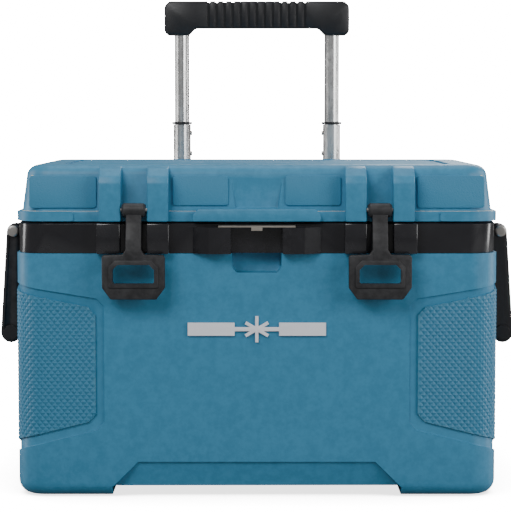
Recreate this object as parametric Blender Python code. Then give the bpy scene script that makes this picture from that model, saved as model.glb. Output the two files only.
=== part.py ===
"""A wheeled hard-sided cooler with a telescoping handle, built from its separate pieces.

Metres, +Z up. X runs across the front, the front faces -Y, and the origin is on the floor
at the middle of the whole object's box.
"""

import math

import bmesh
import bpy
from mathutils import Matrix, Vector

MM = 0.001
GAP = 0.4 * MM

# Body and lid
BODY_HALF = 294 * MM
BODY_DEPTH = 400 * MM
COLLAR_HALF = 291.5 * MM
LID_HALF = 292 * MM
CORNER_RADIUS = 34 * MM
BODY_TOP = 298 * MM
COLLAR_TOP = 335.5 * MM
LID_BASE = 337 * MM
LID_TOP = 405 * MM
UNDERSIDE = 12 * MM
RECESS_TOP = 43 * MM
RECESS_LOW_HALF = 177 * MM
RECESS_TOP_HALF = 145 * MM
RECESS_DEPTH = 12 * MM
FOOT_LENGTH = 95 * MM
POCKET_HALF = 30 * MM
POCKET_FLOOR = 274.5 * MM
POCKET_DEPTH = 22 * MM
SHELL_WALL = 4 * MM
LINER_WALL = 3 * MM
INNER_HALF = 254 * MM
INNER_FLOOR = 54 * MM
INNER_RADIUS = 26 * MM

# How far the object reaches ahead of the front face and behind the back wall
AHEAD = 25 * MM
BEHIND = 57 * MM
FRONT = -(BODY_DEPTH + BEHIND - AHEAD) / 2
BACK = FRONT + BODY_DEPTH
INNER_FRONT = FRONT + 42 * MM
INNER_BACK = BACK - 66 * MM
WHEEL_BLOCK_INNER = 209 * MM
WHEEL_BLOCK_FRONT = BACK - 111 * MM
WHEEL_BLOCK_TOP = 166 * MM

# Lid hinge
HINGE_Y = BACK - 36 * MM
HINGE_Z = 347 * MM
HINGE_X = 190 * MM
HINGE_ROD_RADIUS = 3 * MM
HINGE_BORE = 3.25 * MM
BARREL_RADIUS = 8 * MM
LID_BACK = HINGE_Y - 9.5 * MM

# Latches
LATCH_X = 148.4 * MM
LATCH_Y = FRONT - 9 * MM
LATCH_Z = 351 * MM
BLOCK_FACE = FRONT - 13 * MM
LID_RIBS = ((106.8 * MM, 132.4 * MM), (164.1 * MM, 190.3 * MM))
KEEPERS = ((106 * MM, 133 * MM), (165 * MM, 194 * MM))
KEEPER_TOP = 335 * MM
LATCH_PIN_BORE = 2.65 * MM
RING_BACK = FRONT - 14 * MM
RING_FRONT = FRONT - 25 * MM

# Opener notch between the two centre blocks of the collar
NOTCH_HALF = 31 * MM
NOTCH_DEPTH = 8 * MM
CENTRE_BLOCK_TOP = 330 * MM
STRIP_HALF = 77.5 * MM

# Side handles
BAIL_X = 308 * MM
BAIL_Z = 320 * MM
BAIL_AXIS_X = BAIL_X - 1.5 * MM
BAIL_BORE = 4.25 * MM
GRIP_Z = 192 * MM
BAIL_MIDDLE = FRONT + BODY_DEPTH / 2

# Telescoping handle
TUBE_X = 107 * MM
TUBE_Y = BACK + 40 * MM
LOWER_RADIUS = 12.5 * MM
LOWER_BORE = 11.2 * MM
UPPER_RADIUS = 10.5 * MM
UPPER_BORE = 9.3 * MM
LOWER_BOTTOM = 152 * MM
LOWER_TOP = 452 * MM
UPPER_BOTTOM = 300 * MM
GRIP_BOTTOM = 579 * MM
GRIP_TOP = 627 * MM
GRIP_HALF = 131.5 * MM
GRIP_THICK = 16 * MM
BUTTON_HALF = 32 * MM
BUTTON_THICK = 8 * MM
COLUMN_LOW = 36 * MM
HOUSING_TOP = 340 * MM

# Wheels
WHEEL_RADIUS = 70 * MM
WHEEL_INNER = 238 * MM
WHEEL_OUTER = 280 * MM
AXLE_Y = BACK - 15 * MM
AXLE_RADIUS = 5 * MM
WELL_RADIUS = 77 * MM
WELL_INNER = 232 * MM

# Beam of the rear chassis, which carries the axle
BEAM_HALF = 226 * MM
BEAM_FRONT = BACK - 31.6 * MM
BEAM_TOP = 98 * MM

# Drain, low on the right side
DRAIN_Y = FRONT + 250 * MM
DRAIN_Z = 84 * MM
DRAIN_HOLE = 13.4 * MM

FINISHES = {
    "blue_moulding": ((0.042, 0.198, 0.310), 0.55, 0.0),
    "black_moulding": ((0.016, 0.016, 0.018), 0.4, 0.0),
    "black_rubber": ((0.025, 0.025, 0.026), 0.75, 0.0),
    "liner_white": ((0.72, 0.74, 0.75), 0.45, 0.0),
    "foam": ((0.85, 0.80, 0.62), 0.9, 0.0),
    "bright_aluminium": ((0.78, 0.78, 0.76), 0.25, 1.0),
    "steel": ((0.55, 0.54, 0.52), 0.3, 1.0),
    "emblem_white": ((0.70, 0.72, 0.77), 0.35, 0.0),
    "tyre_grey": ((0.05, 0.05, 0.052), 0.8, 0.0),
}


def clear_scene():
    for obj in list(bpy.data.objects):
        bpy.data.objects.remove(obj)


def finish_of(name):
    material = bpy.data.materials.get(name)
    if material:
        return material
    colour, roughness, metallic = FINISHES[name]
    material = bpy.data.materials.new(name)
    material.use_nodes = True
    shader = material.node_tree.nodes["Principled BSDF"]
    shader.inputs["Base Color"].default_value = (*colour, 1)
    shader.inputs["Roughness"].default_value = roughness
    shader.inputs["Metallic"].default_value = metallic
    return material


def place(bm, name, finish, origin=(0, 0, 0)):
    """The bmesh as a new object, with its origin moved to the given point."""
    bmesh.ops.remove_doubles(bm, verts=bm.verts, dist=1e-6)
    bmesh.ops.recalc_face_normals(bm, faces=bm.faces)
    bmesh.ops.translate(bm, verts=bm.verts, vec=-Vector(origin))
    mesh = bpy.data.meshes.new(name)
    bm.to_mesh(mesh)
    bm.free()
    mesh.shade_smooth()
    mesh.set_sharp_from_angle(angle=math.radians(35))
    obj = bpy.data.objects.new(name, mesh)
    obj.location = origin
    bpy.context.scene.collection.objects.link(obj)
    if finish:
        mesh.materials.append(finish_of(finish))
    return obj


def as_cutter(obj):
    obj.hide_render = True
    obj.display_type = "WIRE"
    return obj


def boolean(obj, others, operation):
    """Cuts the other objects from obj, or joins them to it, and leaves them as hidden helpers."""
    for other in others:
        as_cutter(other)
        modifier = obj.modifiers.new(f"{operation.lower()}_{other.name}", "BOOLEAN")
        modifier.operation = operation
        modifier.solver = "EXACT"
        modifier.object = other
    return obj


def cut(obj, *others):
    return boolean(obj, others, "DIFFERENCE")


def join(obj, *others):
    return boolean(obj, others, "UNION")


def rounded_rectangle(x_low, x_high, y_low, y_high, radius, steps=4):
    """Outline points, anticlockwise, with a round arc at each corner."""
    corners = (
        (x_high - radius, y_high - radius, 0),
        (x_low + radius, y_high - radius, 90),
        (x_low + radius, y_low + radius, 180),
        (x_high - radius, y_low + radius, 270),
    )
    points = []
    for x, y, start in corners:
        for step in range(steps + 1):
            angle = math.radians(start + 90 * step / steps)
            points.append((x + radius * math.cos(angle), y + radius * math.sin(angle)))
    return points


def loft(name, rings, finish=None, origin=(0, 0, 0)):
    """A closed solid through rings of (outline points, height), stacked upwards."""
    bm = bmesh.new()
    loops = []
    for points, height in rings:
        loops.append([bm.verts.new((x, y, height)) for x, y in points])
    count = len(loops[0])
    for lower, upper in zip(loops, loops[1:]):
        for i in range(count):
            j = (i + 1) % count
            bm.faces.new((lower[i], lower[j], upper[j], upper[i]))
    bm.faces.new(loops[0][::-1])
    bm.faces.new(loops[-1])
    return place(bm, name, finish, origin)


def box(name, low, high, finish=None, bevel=0, origin=(0, 0, 0)):
    bm = bmesh.new()
    size = [b - a for a, b in zip(low, high)]
    centre = [(a + b) / 2 for a, b in zip(low, high)]
    matrix = Matrix.Translation(centre) @ Matrix.Diagonal((*size, 1))
    bmesh.ops.create_cube(bm, size=1, matrix=matrix)
    if bevel:
        bmesh.ops.bevel(
            bm, geom=bm.edges[:], offset=bevel, affect="EDGES", segments=2, profile=0.5, material=-1
        )
    return place(bm, name, finish, origin)


AXIS_TURNS = {
    "X": Matrix.Rotation(math.radians(90), 4, "Y"),
    "Y": Matrix.Rotation(math.radians(-90), 4, "X"),
    "Z": Matrix.Identity(4),
}


def turned(name, profile, centre, axis, finish=None, steps=20, origin=None):
    """A solid of revolution. The profile is a closed outline of (radius, distance along the axis)."""
    bm = bmesh.new()
    verts = [bm.verts.new((radius, 0, along)) for radius, along in profile]
    edges = [bm.edges.new((a, b)) for a, b in zip(verts, verts[1:] + verts[:1])]
    bmesh.ops.spin(
        bm, geom=verts + edges, cent=(0, 0, 0), axis=(0, 0, 1),
        angle=math.tau, steps=steps, use_merge=True,
    )
    bmesh.ops.remove_doubles(bm, verts=bm.verts, dist=1e-6)
    matrix = Matrix.Translation(centre) @ AXIS_TURNS[axis]
    bmesh.ops.transform(bm, matrix=matrix, verts=bm.verts)
    return place(bm, name, finish, centre if origin is None else origin)


def rod(name, radius, start, end, centre, axis, finish=None, steps=16, origin=None):
    """A plain round bar from start to end along the axis, both measured from the centre."""
    profile = [(0, start), (radius, start), (radius, end), (0, end)]
    return turned(name, profile, centre, axis, finish, steps, origin)


def pipe(name, outer, inner, start, end, centre, axis, finish=None, steps=20, origin=None):
    profile = [(inner, start), (outer, start), (outer, end), (inner, end)]
    return turned(name, profile, centre, axis, finish, steps, origin)


def prism(name, outline, start, end, axis, finish=None, origin=(0, 0, 0)):
    """A closed outline drawn out from start to end. Its points are (y, z) for X and (x, z) for Y."""
    bm = bmesh.new()
    verts = []
    for first, second in outline:
        verts.append(bm.verts.new((start, first, second) if axis == "X" else (first, start, second)))
    face = bm.faces.new(verts)
    moved = bmesh.ops.extrude_face_region(bm, geom=[face])
    shift = Vector((end - start, 0, 0)) if axis == "X" else Vector((0, end - start, 0))
    new_verts = [item for item in moved["geom"] if isinstance(item, bmesh.types.BMVert)]
    bmesh.ops.translate(bm, verts=new_verts, vec=shift)
    return place(bm, name, finish, origin)


# Body

def plan(inset, front=FRONT, back=BACK, half=BODY_HALF, radius=CORNER_RADIUS):
    """The rounded rectangle that the walls follow, seen from above."""
    corner = max(radius - inset, 8 * MM)
    return rounded_rectangle(-half + inset, half - inset, front + inset, back - inset, corner)


def wheel_well(side):
    low, high = sorted((side * WELL_INNER, side * (BODY_HALF + 6 * MM)))
    arch = rod(f"well_arch_{side}", WELL_RADIUS, low, high, (0, AXLE_Y, WHEEL_RADIUS), "X", steps=28)
    below = box(
        f"well_below_{side}", (low, AXLE_Y - WELL_RADIUS, -9 * MM), (high, BACK + 9 * MM, WHEEL_RADIUS)
    )
    top = WHEEL_RADIUS + WELL_RADIUS
    behind = box(f"well_behind_{side}", (low, AXLE_Y, WHEEL_RADIUS - MM), (high, BACK + 9 * MM, top))
    return [arch, below, behind]


def shell_core(name, gap, top, finish=None):
    """The space inside the outer shell: clear of the recess, pocket, axle beam and wheel wells."""
    inset = SHELL_WALL + gap
    bottom = UNDERSIDE + inset
    core = loft(name, [(plan(inset), bottom), (plan(inset), top)], finish)
    recess = box(
        f"{name}_recess", (-RECESS_LOW_HALF - inset, FRONT - MM, 0), (
            RECESS_LOW_HALF + inset, FRONT + RECESS_DEPTH + inset, RECESS_TOP + inset
        )
    )
    beam = box(
        f"{name}_beam", (-240 * MM, BEAM_FRONT - 4.4 * MM - gap, 0), (240 * MM, BACK, BEAM_TOP + inset)
    )
    pocket_half = POCKET_HALF + inset
    pocket = box(
        f"{name}_pocket", (-pocket_half, FRONT - MM, POCKET_FLOOR - 4.5 * MM - gap),
        (pocket_half, FRONT + POCKET_DEPTH + inset, top + MM)
    )
    wells = []
    for side in (-1, 1):
        low, high = sorted((side * (WELL_INNER - SHELL_WALL - gap), side * BODY_HALF))
        well_top = WHEEL_RADIUS + WELL_RADIUS + SHELL_WALL + gap
        well_front = AXLE_Y - WELL_RADIUS - SHELL_WALL - gap
        wells.append(box(f"{name}_well_{side}", (low, well_front, 0), (high, BACK, well_top)))
    return cut(core, recess, beam, pocket, *wells)


def liner_form(name, grow, top, finish=None):
    """The storage space, grown outwards by a wall, with a corner block over each wheel."""
    outline = plan(-grow, INNER_FRONT, INNER_BACK, INNER_HALF, INNER_RADIUS)
    floor = plan(6 * MM - grow, INNER_FRONT, INNER_BACK, INNER_HALF, INNER_RADIUS)
    bottom = INNER_FLOOR - grow
    form = loft(name, [(floor, bottom), (outline, bottom + 10 * MM), (outline, top)], finish)
    blocks = []
    for side in (-1, 1):
        low, high = sorted((side * (WHEEL_BLOCK_INNER + grow), side * BODY_HALF))
        block_front = WHEEL_BLOCK_FRONT + grow
        blocks.append(
            box(
                f"{name}_block_{side}", (low, block_front, 20 * MM),
                (high, BACK, WHEEL_BLOCK_TOP - grow), bevel=4 * MM
            )
        )
    return cut(form, *blocks)


def drain_hole(name, radius, low, high):
    return rod(name, radius, low, high, (0, DRAIN_Y, DRAIN_Z), "X")


def build_body():
    foot = [(14, 0), (6.5, 3.5), (1.6, 10), (0, 19), (0, 298)]
    shell = loft("body_shell", [(plan(inset * MM), height * MM) for inset, height in foot], "blue_moulding")
    outline = [(-RECESS_LOW_HALF, -5 * MM), (RECESS_LOW_HALF, -5 * MM), (RECESS_LOW_HALF, UNDERSIDE)]
    outline += [(RECESS_TOP_HALF, RECESS_TOP), (-RECESS_TOP_HALF, RECESS_TOP), (-RECESS_LOW_HALF, UNDERSIDE)]
    recess = prism("recess_cutter", outline, FRONT - 5 * MM, FRONT + RECESS_DEPTH, "Y")
    between = box(
        "between_feet", (-RECESS_LOW_HALF, FRONT - MM, -9 * MM),
        (RECESS_LOW_HALF, FRONT + FOOT_LENGTH, UNDERSIDE)
    )
    behind = box("behind_feet", (-0.4, FRONT + 90 * MM, -9 * MM), (0.4, BACK + 9 * MM, UNDERSIDE))
    beam = box(
        "beam_cutter", (-BEAM_HALF - GAP, BEAM_FRONT - GAP, -9 * MM),
        (BEAM_HALF + GAP, BACK + 9 * MM, BEAM_TOP + GAP)
    )
    pocket = box(
        "pocket_cutter", (-POCKET_HALF, FRONT - 9 * MM, POCKET_FLOOR),
        (POCKET_HALF, FRONT + POCKET_DEPTH, 320 * MM), bevel=6 * MM,
    )
    axle = rod("axle_cutter", AXLE_RADIUS + 0.6 * MM, -0.24, 0.24, (0, AXLE_Y, WHEEL_RADIUS), "X")
    core = shell_core("shell_core", 0, BODY_TOP + 10 * MM)
    drain = drain_hole("shell_drain_hole", DRAIN_HOLE, 0.27, 0.31)
    holes = [
        rod(f"screw_hole_{i}", 2.3 * MM, -8 * MM, 8 * MM, (x, BACK, z), "Y", steps=12)
        for i, (x, z) in enumerate(chassis_screw_places())
    ]
    cut(
        shell, recess, between, behind, beam, pocket, axle, core, drain, *holes, *wheel_well(-1),
        *wheel_well(1)
    )

    foam = shell_core("body_insulation", GAP, BODY_TOP - GAP, "foam")
    cut(foam, liner_form("foam_cavity", LINER_WALL + GAP, BODY_TOP + 20 * MM))
    cut(foam, drain_hole("foam_drain_hole", DRAIN_HOLE, 0.24, 0.31))

    liner_top = COLLAR_TOP - 3.9 * MM
    liner = liner_form("inner_liner", LINER_WALL, liner_top, "liner_white")
    cut(liner, liner_form("liner_cavity", 0, COLLAR_TOP))
    cut(liner, drain_hole("liner_drain_hole", DRAIN_HOLE, 0.24, 0.31))


def chassis_screw_places():
    return [(side * 142 * MM, height) for side in (-1, 1) for height in (140 * MM, 270 * MM)]


# Collar

def build_collar():
    outer = plan(0, FRONT + MM, BACK - MM, COLLAR_HALF)
    shoulder = plan(1.5 * MM, FRONT + MM, BACK - MM, COLLAR_HALF)
    base = BODY_TOP + 0.3 * MM
    collar = loft(
        "collar", [(outer, base), (outer, COLLAR_TOP - 2 * MM), (shoulder, COLLAR_TOP)],
        "black_moulding"
    )

    deck = COLLAR_TOP - 3.5 * MM
    hollow = loft("collar_hollow", [(plan(3.5 * MM, FRONT + MM, BACK - MM, COLLAR_HALF), base - 9 * MM)] + [
        (plan(3.5 * MM, FRONT + MM, BACK - MM, COLLAR_HALF), deck)
    ])
    inner_wall = plan(-6.4 * MM, INNER_FRONT, INNER_BACK, INNER_HALF, INNER_RADIUS)
    cut(hollow, loft("collar_inner_wall", [(inner_wall, base - 20 * MM), (inner_wall, COLLAR_TOP + MM)]))
    liner_room = plan(-LINER_WALL - GAP, INNER_FRONT, INNER_BACK, INNER_HALF, INNER_RADIUS)
    room = loft("collar_liner_room", [(liner_room, base - 20 * MM), (liner_room, deck)])
    mouth_outline = plan(0, INNER_FRONT, INNER_BACK, INNER_HALF, INNER_RADIUS)
    mouth = loft("collar_mouth", [(mouth_outline, base - 20 * MM), (mouth_outline, COLLAR_TOP + 9 * MM)])
    window = box(
        "notch_window", (-NOTCH_HALF, FRONT - 20 * MM, base - 9 * MM),
        (NOTCH_HALF, FRONT + NOTCH_DEPTH + MM, CENTRE_BLOCK_TOP + MM)
    )
    cut(collar, hollow, room, mouth, window)

    cheek_half = NOTCH_HALF + 3 * MM
    pieces = [
        box(
            "notch_back", (-cheek_half, FRONT + NOTCH_DEPTH, base),
            (cheek_half, FRONT + NOTCH_DEPTH + 3 * MM, deck + MM)
        )
    ]
    for side in (-1, 1):
        cheek = sorted((side * NOTCH_HALF, side * cheek_half))
        pieces.append(
            box(
                f"notch_cheek_{side}", (cheek[0], FRONT + 2 * MM, base),
                (cheek[1], FRONT + NOTCH_DEPTH + 3 * MM, deck + MM)
            )
        )
        for i, (near, far) in enumerate(KEEPERS):
            low, high = sorted((side * near, side * far))
            pieces.append(
                box(
                    f"keeper_{side}_{i}", (low, BLOCK_FACE, base), (high, FRONT + 3 * MM, KEEPER_TOP),
                    bevel=1.5 * MM
                )
            )
        outline = [(STRIP_HALF / MM, 3), (STRIP_HALF / MM, -1), (58, -14), (31.5, -14), (31.5, 3)]
        points = [(side * x * MM, FRONT + y * MM) for x, y in outline]
        pieces.append(loft(f"centre_block_{side}", [(points, base), (points, CENTRE_BLOCK_TOP)]))
        pieces += hinge_lugs(side) + handle_lugs(side)
    join(collar, *pieces)

    holes = []
    for side in (-1, 1):
        holes.append(
            rod(f"hinge_bore_{side}", HINGE_BORE, -30 * MM, 30 * MM, (side * HINGE_X, HINGE_Y, HINGE_Z), "X")
        )
        for end in (-1, 1):
            centre = (side * BAIL_AXIS_X, BAIL_MIDDLE + end * 90 * MM, BAIL_Z)
            holes.append(rod(f"lug_bore_{side}_{end}", BAIL_BORE, -20 * MM, 20 * MM, centre, "Y"))
    cut(collar, *holes)


def hinge_lugs(side):
    lugs = []
    for end in (-1, 1):
        x = side * HINGE_X + end * 19.5 * MM
        start, stop = x - 5 * MM, x + 5 * MM
        barrel = rod(f"hinge_barrel_{side}_{end}", BARREL_RADIUS, -5 * MM, 5 * MM, (x, HINGE_Y, HINGE_Z), "X")
        post_low = (start, HINGE_Y - BARREL_RADIUS, COLLAR_TOP - 2 * MM)
        lugs += [barrel, box(f"hinge_post_{side}_{end}", post_low, (stop, HINGE_Y + BARREL_RADIUS, HINGE_Z))]
    return lugs


def handle_lugs(side):
    lugs = []
    for end in (-1, 1):
        y_low, y_high = sorted((BAIL_MIDDLE + end * 80 * MM, BAIL_MIDDLE + end * 97.6 * MM))
        x_low, x_high = sorted((side * 288.5 * MM, side * 306 * MM))
        centre = (side * BAIL_AXIS_X, 0, BAIL_Z)
        lugs.append(box(f"handle_lug_{side}_{end}", (x_low, y_low, 311 * MM), (x_high, y_high, 329 * MM)))
        lugs.append(rod(f"handle_boss_{side}_{end}", 9 * MM, y_low, y_high, centre, "Y"))
    return lugs


def build_opener():
    plate = box(
        "opener_plate", (-46.6 * MM, FRONT - 13.5 * MM, 330.4 * MM),
        (46.6 * MM, FRONT + 0.6 * MM, 332.4 * MM), "steel",
    )
    tab = box("opener_tab", (-6.7 * MM, FRONT - 13.4 * MM, 326.4 * MM), (6.7 * MM, FRONT - 11 * MM, 331 * MM))
    join(plate, tab)


# Lid

LID_OUTSIDE = [(0, 337), (0, 349), (3.5, 350.5), (8, 392), (13, 399), (20, 403.5), (30, 405)]


def lid_rings(extra, bottom, top):
    """The lid's outside, drawn in by a wall thickness, between two heights."""
    rings = [(plan(extra, FRONT + 0.5 * MM, LID_BACK, LID_HALF), bottom)]
    for inset, height in LID_OUTSIDE[1:]:
        height = min(height * MM, top)
        if height > rings[-1][1]:
            rings.append((plan(inset * MM + extra, FRONT + 0.5 * MM, LID_BACK, LID_HALF), height))
    return rings


def lid_core(name, gap, bottom, finish=None):
    core = loft(name, lid_rings(3.5 * MM + gap, bottom, LID_TOP - 3.5 * MM - gap), finish)
    block = box(
        f"{name}_pocket", (-36 * MM - gap, FRONT, 344 * MM - gap),
        (36 * MM + gap, FRONT + 14 * MM + gap, LID_TOP)
    )
    return cut(core, block)


def build_lid():
    shell = loft("lid_shell", lid_rings(0, LID_BASE, LID_TOP), "blue_moulding")
    core = lid_core("lid_core", 0, LID_BASE - 9 * MM)
    pocket_outline = [(-26.5, 353), (26.5, 353), (31, 399.5), (-31, 399.5)]
    pocket = prism(
        "lid_pocket", [(x * MM, z * MM) for x, z in pocket_outline], FRONT - 9 * MM, FRONT + 10 * MM,
        "Y"
    )
    cut(shell, core, pocket)

    pieces = []
    rib = [
        (FRONT + 2.5 * MM, LID_BASE), (BLOCK_FACE, LID_BASE), (BLOCK_FACE, 386 * MM),
        (FRONT + 7 * MM, 397 * MM)
    ]
    rib.append((FRONT + 10 * MM, 391 * MM))
    half = STRIP_HALF / MM
    strip = [(-half, LID_BASE / MM), (half, LID_BASE / MM), (72, 352), (-72, 352)]
    pieces.append(
        prism("finger_strip", [(x * MM, z * MM) for x, z in strip], FRONT - 9 * MM, FRONT + 3 * MM, "Y")
    )
    for side in (-1, 1):
        for i, (near, far) in enumerate(LID_RIBS):
            start, end = sorted((side * near, side * far))
            pieces.append(prism(f"rib_{side}_{i}", rib, start, end, "X"))
        x = side * HINGE_X
        centre = (x, HINGE_Y, HINGE_Z)
        pieces.append(rod(f"lid_barrel_{side}", BARREL_RADIUS, -14 * MM, 14 * MM, centre, "X"))
        arm = [(LID_BACK - 3 * MM, 341), (HINGE_Y, 339), (HINGE_Y, 355), (LID_BACK - 3 * MM, 355)]
        arm = [(y, z * MM) for y, z in arm]
        pieces.append(prism(f"lid_arm_{side}", arm, x - 14 * MM, x + 14 * MM, "X"))
    join(shell, *pieces)
    for side in (-1, 1):
        cut(
            shell,
            rod(f"lid_bore_{side}", HINGE_BORE, -30 * MM, 30 * MM, (side * HINGE_X, HINGE_Y, HINGE_Z), "X")
        )
        pin = rod(
            f"latch_bore_{side}", LATCH_PIN_BORE, -34 * MM, 34 * MM, (side * LATCH_X, LATCH_Y, LATCH_Z),
            "X"
        )
        cut(shell, pin)

    lid_core("lid_insulation", GAP, 343 * MM, "foam")

    plate_outline = plan(4 * MM, FRONT + 0.5 * MM, LID_BACK, LID_HALF)
    liner = loft("lid_liner", [(plate_outline, 339.1 * MM), (plate_outline, 342.6 * MM)], "liner_white")
    for name, inset, low, high in (("lid_plug", 4, 326, 340), ("lid_plug_hollow", 7, 329, 350)):
        outline = plan(inset * MM, INNER_FRONT, INNER_BACK, INNER_HALF, INNER_RADIUS + 6 * MM)
        helper = loft(name, [(outline, low * MM), (outline, high * MM)])
        if inset == 4:
            join(liner, helper)
        else:
            cut(liner, helper)

    ring = [plan(-grow * MM, INNER_FRONT, INNER_BACK, INNER_HALF, INNER_RADIUS) for grow in (16, 9)]
    gasket = loft("lid_gasket", [(ring[0], 335.9 * MM), (ring[0], 338.7 * MM)], "black_rubber")
    cut(gasket, loft("gasket_inside", [(ring[1], 330 * MM), (ring[1], 345 * MM)]))

    for side, word in ((-1, "left"), (1, "right")):
        centre = (side * HINGE_X, HINGE_Y, HINGE_Z)
        rod(f"hinge_rod_{word}", HINGE_ROD_RADIUS, -26 * MM, 26 * MM, centre, "X", "steel")


# Latches

def build_latch(side, word):
    x = side * LATCH_X
    centre = (x, LATCH_Y, LATCH_Z)
    latch = rod(f"latch_{word}", 8.5 * MM, -14.3 * MM, 14.3 * MM, centre, "X", "black_rubber")
    strap_side = [
        (-5, 351), (-13, 351), (-15.5, 335), (-23, 302), (-23, 290), (-15, 290), (-15, 302), (-9, 335)
    ]
    strap = prism(
        f"strap_{word}", [(FRONT + y * MM, z * MM) for y, z in strap_side], x - 9.35 * MM, x + 9.35 * MM, "X"
    )
    ring = [
        (-11, 300), (-37.9, 292), (-37.9, 258), (-27.5, 244), (27.5, 244), (37.9, 258), (37.9, 292),
        (11, 300)
    ]
    ring_points = [(x + dx * MM, z * MM) for dx, z in ring]
    pull = prism(f"ring_{word}", ring_points, RING_FRONT, RING_BACK, "Y")
    hole = [(-25, 263), (25, 263), (25, 280), (19, 286), (-19, 286), (-25, 280)]
    hole_points = [(x + dx * MM, z * MM) for dx, z in hole]
    opening = prism(f"ring_opening_{word}", hole_points, RING_FRONT - 5 * MM, RING_BACK + 5 * MM, "Y")
    join(latch, strap, pull)
    cut(latch, opening, rod(f"latch_pin_bore_{word}", LATCH_PIN_BORE, -20 * MM, 20 * MM, centre, "X"))
    rod(f"latch_pin_{word}", 2.4 * MM, -30 * MM, 30 * MM, centre, "X", "steel")


# Side handles

def link_outline(x_1, z_1, radius_1, x_2, z_2, radius_2, steps=8):
    """The outline of a flat link with a round end about each of two centres, the first one above."""
    points = []
    for x, z, radius, start in ((x_1, z_1, radius_1, 0), (x_2, z_2, radius_2, 180)):
        for step in range(steps + 1):
            angle = math.radians(start + 180 * step / steps)
            points.append((x + radius * math.cos(angle), z + radius * math.sin(angle)))
    return points


def build_side_handle(side, word):
    axis_x = side * BAIL_AXIS_X
    grip_x = side * (BAIL_X + 2 * MM)
    origin = (axis_x, BAIL_MIDDLE, BAIL_Z)
    grip_centre = (grip_x, BAIL_MIDDLE, GRIP_Z)
    bail = pipe(
        f"side_handle_{word}", 12 * MM, 9.8 * MM, -99 * MM, 99 * MM, grip_centre, "Y", "black_moulding",
        origin=origin
    )
    outline = link_outline(axis_x, BAIL_Z, 8 * MM, grip_x, GRIP_Z, 13 * MM)
    arms = []
    for end in (-1, 1):
        start, stop = sorted((BAIL_MIDDLE + end * 98 * MM, BAIL_MIDDLE + end * 110 * MM))
        arms.append(prism(f"bail_arm_{word}_{end}", outline, start, stop, "Y"))
    join(bail, *arms)
    grip_bore = rod(f"grip_bore_{word}", 9.8 * MM, -120 * MM, 120 * MM, grip_centre, "Y", steps=24)
    cut(bail, grip_bore, rod(f"pivot_bore_{word}", BAIL_BORE, -120 * MM, 120 * MM, origin, "Y"))
    rod(f"side_grip_rod_{word}", 9.4 * MM, -111.5 * MM, 111.5 * MM, grip_centre, "Y", "steel", steps=24)
    for end, place_word in ((-1, "front"), (1, "rear")):
        head = [(0, 84), (4, 84), (4, 110.5), (7, 110.5), (7, 112.5), (5.5, 113.5), (0, 113.5)]
        profile = [(radius * MM, end * along * MM) for radius, along in head]
        turned(f"handle_pin_{word}_{place_word}", profile, origin, "Y", "steel", steps=20)


# Telescoping handle

def build_chassis():
    chassis = box(
        "rear_chassis", (-BEAM_HALF, BEAM_FRONT, 32 * MM), (BEAM_HALF, BACK + 22 * MM, BEAM_TOP),
        "black_moulding", bevel=2 * MM,
    )
    bridge = box("chassis_bridge", (-TUBE_X, BACK + GAP, 236 * MM), (TUBE_X, BACK + 26 * MM, 292 * MM))
    pieces = [bridge]
    bores = [rod("axle_bore", AXLE_RADIUS + 0.3 * MM, -0.24, 0.24, (0, AXLE_Y, WHEEL_RADIUS), "X")]
    for side in (-1, 1):
        low, high = sorted((side * (TUBE_X - 22 * MM), side * (TUBE_X + 22 * MM)))
        pieces.append(
            box(
                f"chassis_column_{side}", (low, BACK + GAP, COLUMN_LOW),
                (high, BACK + BEHIND, HOUSING_TOP), bevel=3 * MM
            )
        )
        bores.append(
            rod(f"column_bore_{side}", 12.95 * MM, 30 * MM, 350 * MM, (side * TUBE_X, TUBE_Y, 0), "Z")
        )
        bores.append(button_slot(f"column_slot_{side}", side, 290 * MM, 350 * MM))
    for i, (x, z) in enumerate(chassis_screw_places()):
        side = math.copysign(1, x)
        low, high = sorted((x + side * 13 * MM, side * 120 * MM))
        pieces.append(
            box(f"chassis_ear_{i}", (low, BACK + GAP, z - 14 * MM), (high, BACK + 6 * MM, z + 14 * MM))
        )
        bores.append(rod(f"ear_hole_{i}", 2.3 * MM, -2 * MM, 9 * MM, (x, BACK, z), "Y", steps=12))
    join(chassis, *pieces)
    cut(chassis, *bores)
    for i, (x, z) in enumerate(chassis_screw_places()):
        profile = [(0, -3.7), (2, -3.7), (2, 6.4), (5, 6.4), (4.2, 8.8), (0, 8.8)]
        profile = [(radius * MM, along * MM) for radius, along in profile]
        turned(f"chassis_screw_{i + 1}", profile, (x, BACK, z), "Y", "steel", steps=16)


def button_slot(name, side, low, high):
    """Room for the detent buttons, on the side of each tube that faces the middle."""
    x_low, x_high = sorted((side * (TUBE_X - 16.5 * MM), side * (TUBE_X - 9 * MM)))
    return box(name, (x_low, TUBE_Y - 4.6 * MM, low), (x_high, TUBE_Y + 4.6 * MM, high))


def detent(name, side, grow, inner, finish=None):
    """Two round buttons on one flat leaf, in the tube wall that faces the middle."""
    nubs = []
    for height in (411 * MM, 440 * MM):
        ends = sorted((-side * inner, -side * (14.4 * MM + 4 * grow)))
        nubs.append(
            rod(
                f"{name}_{height / MM:.0f}", 3.2 * MM + grow, *ends, (side * TUBE_X, TUBE_Y, height),
                "X", steps=16
            )
        )
    x_low, x_high = sorted((side * (TUBE_X - inner), side * (TUBE_X - 12.2 * MM - 4 * grow)))
    half = 1.5 * MM + grow
    leaf = box(
        name, (x_low, TUBE_Y - half, 408 * MM - grow), (x_high, TUBE_Y + half, 443 * MM + grow), finish
    )
    return join(leaf, *nubs)


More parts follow.
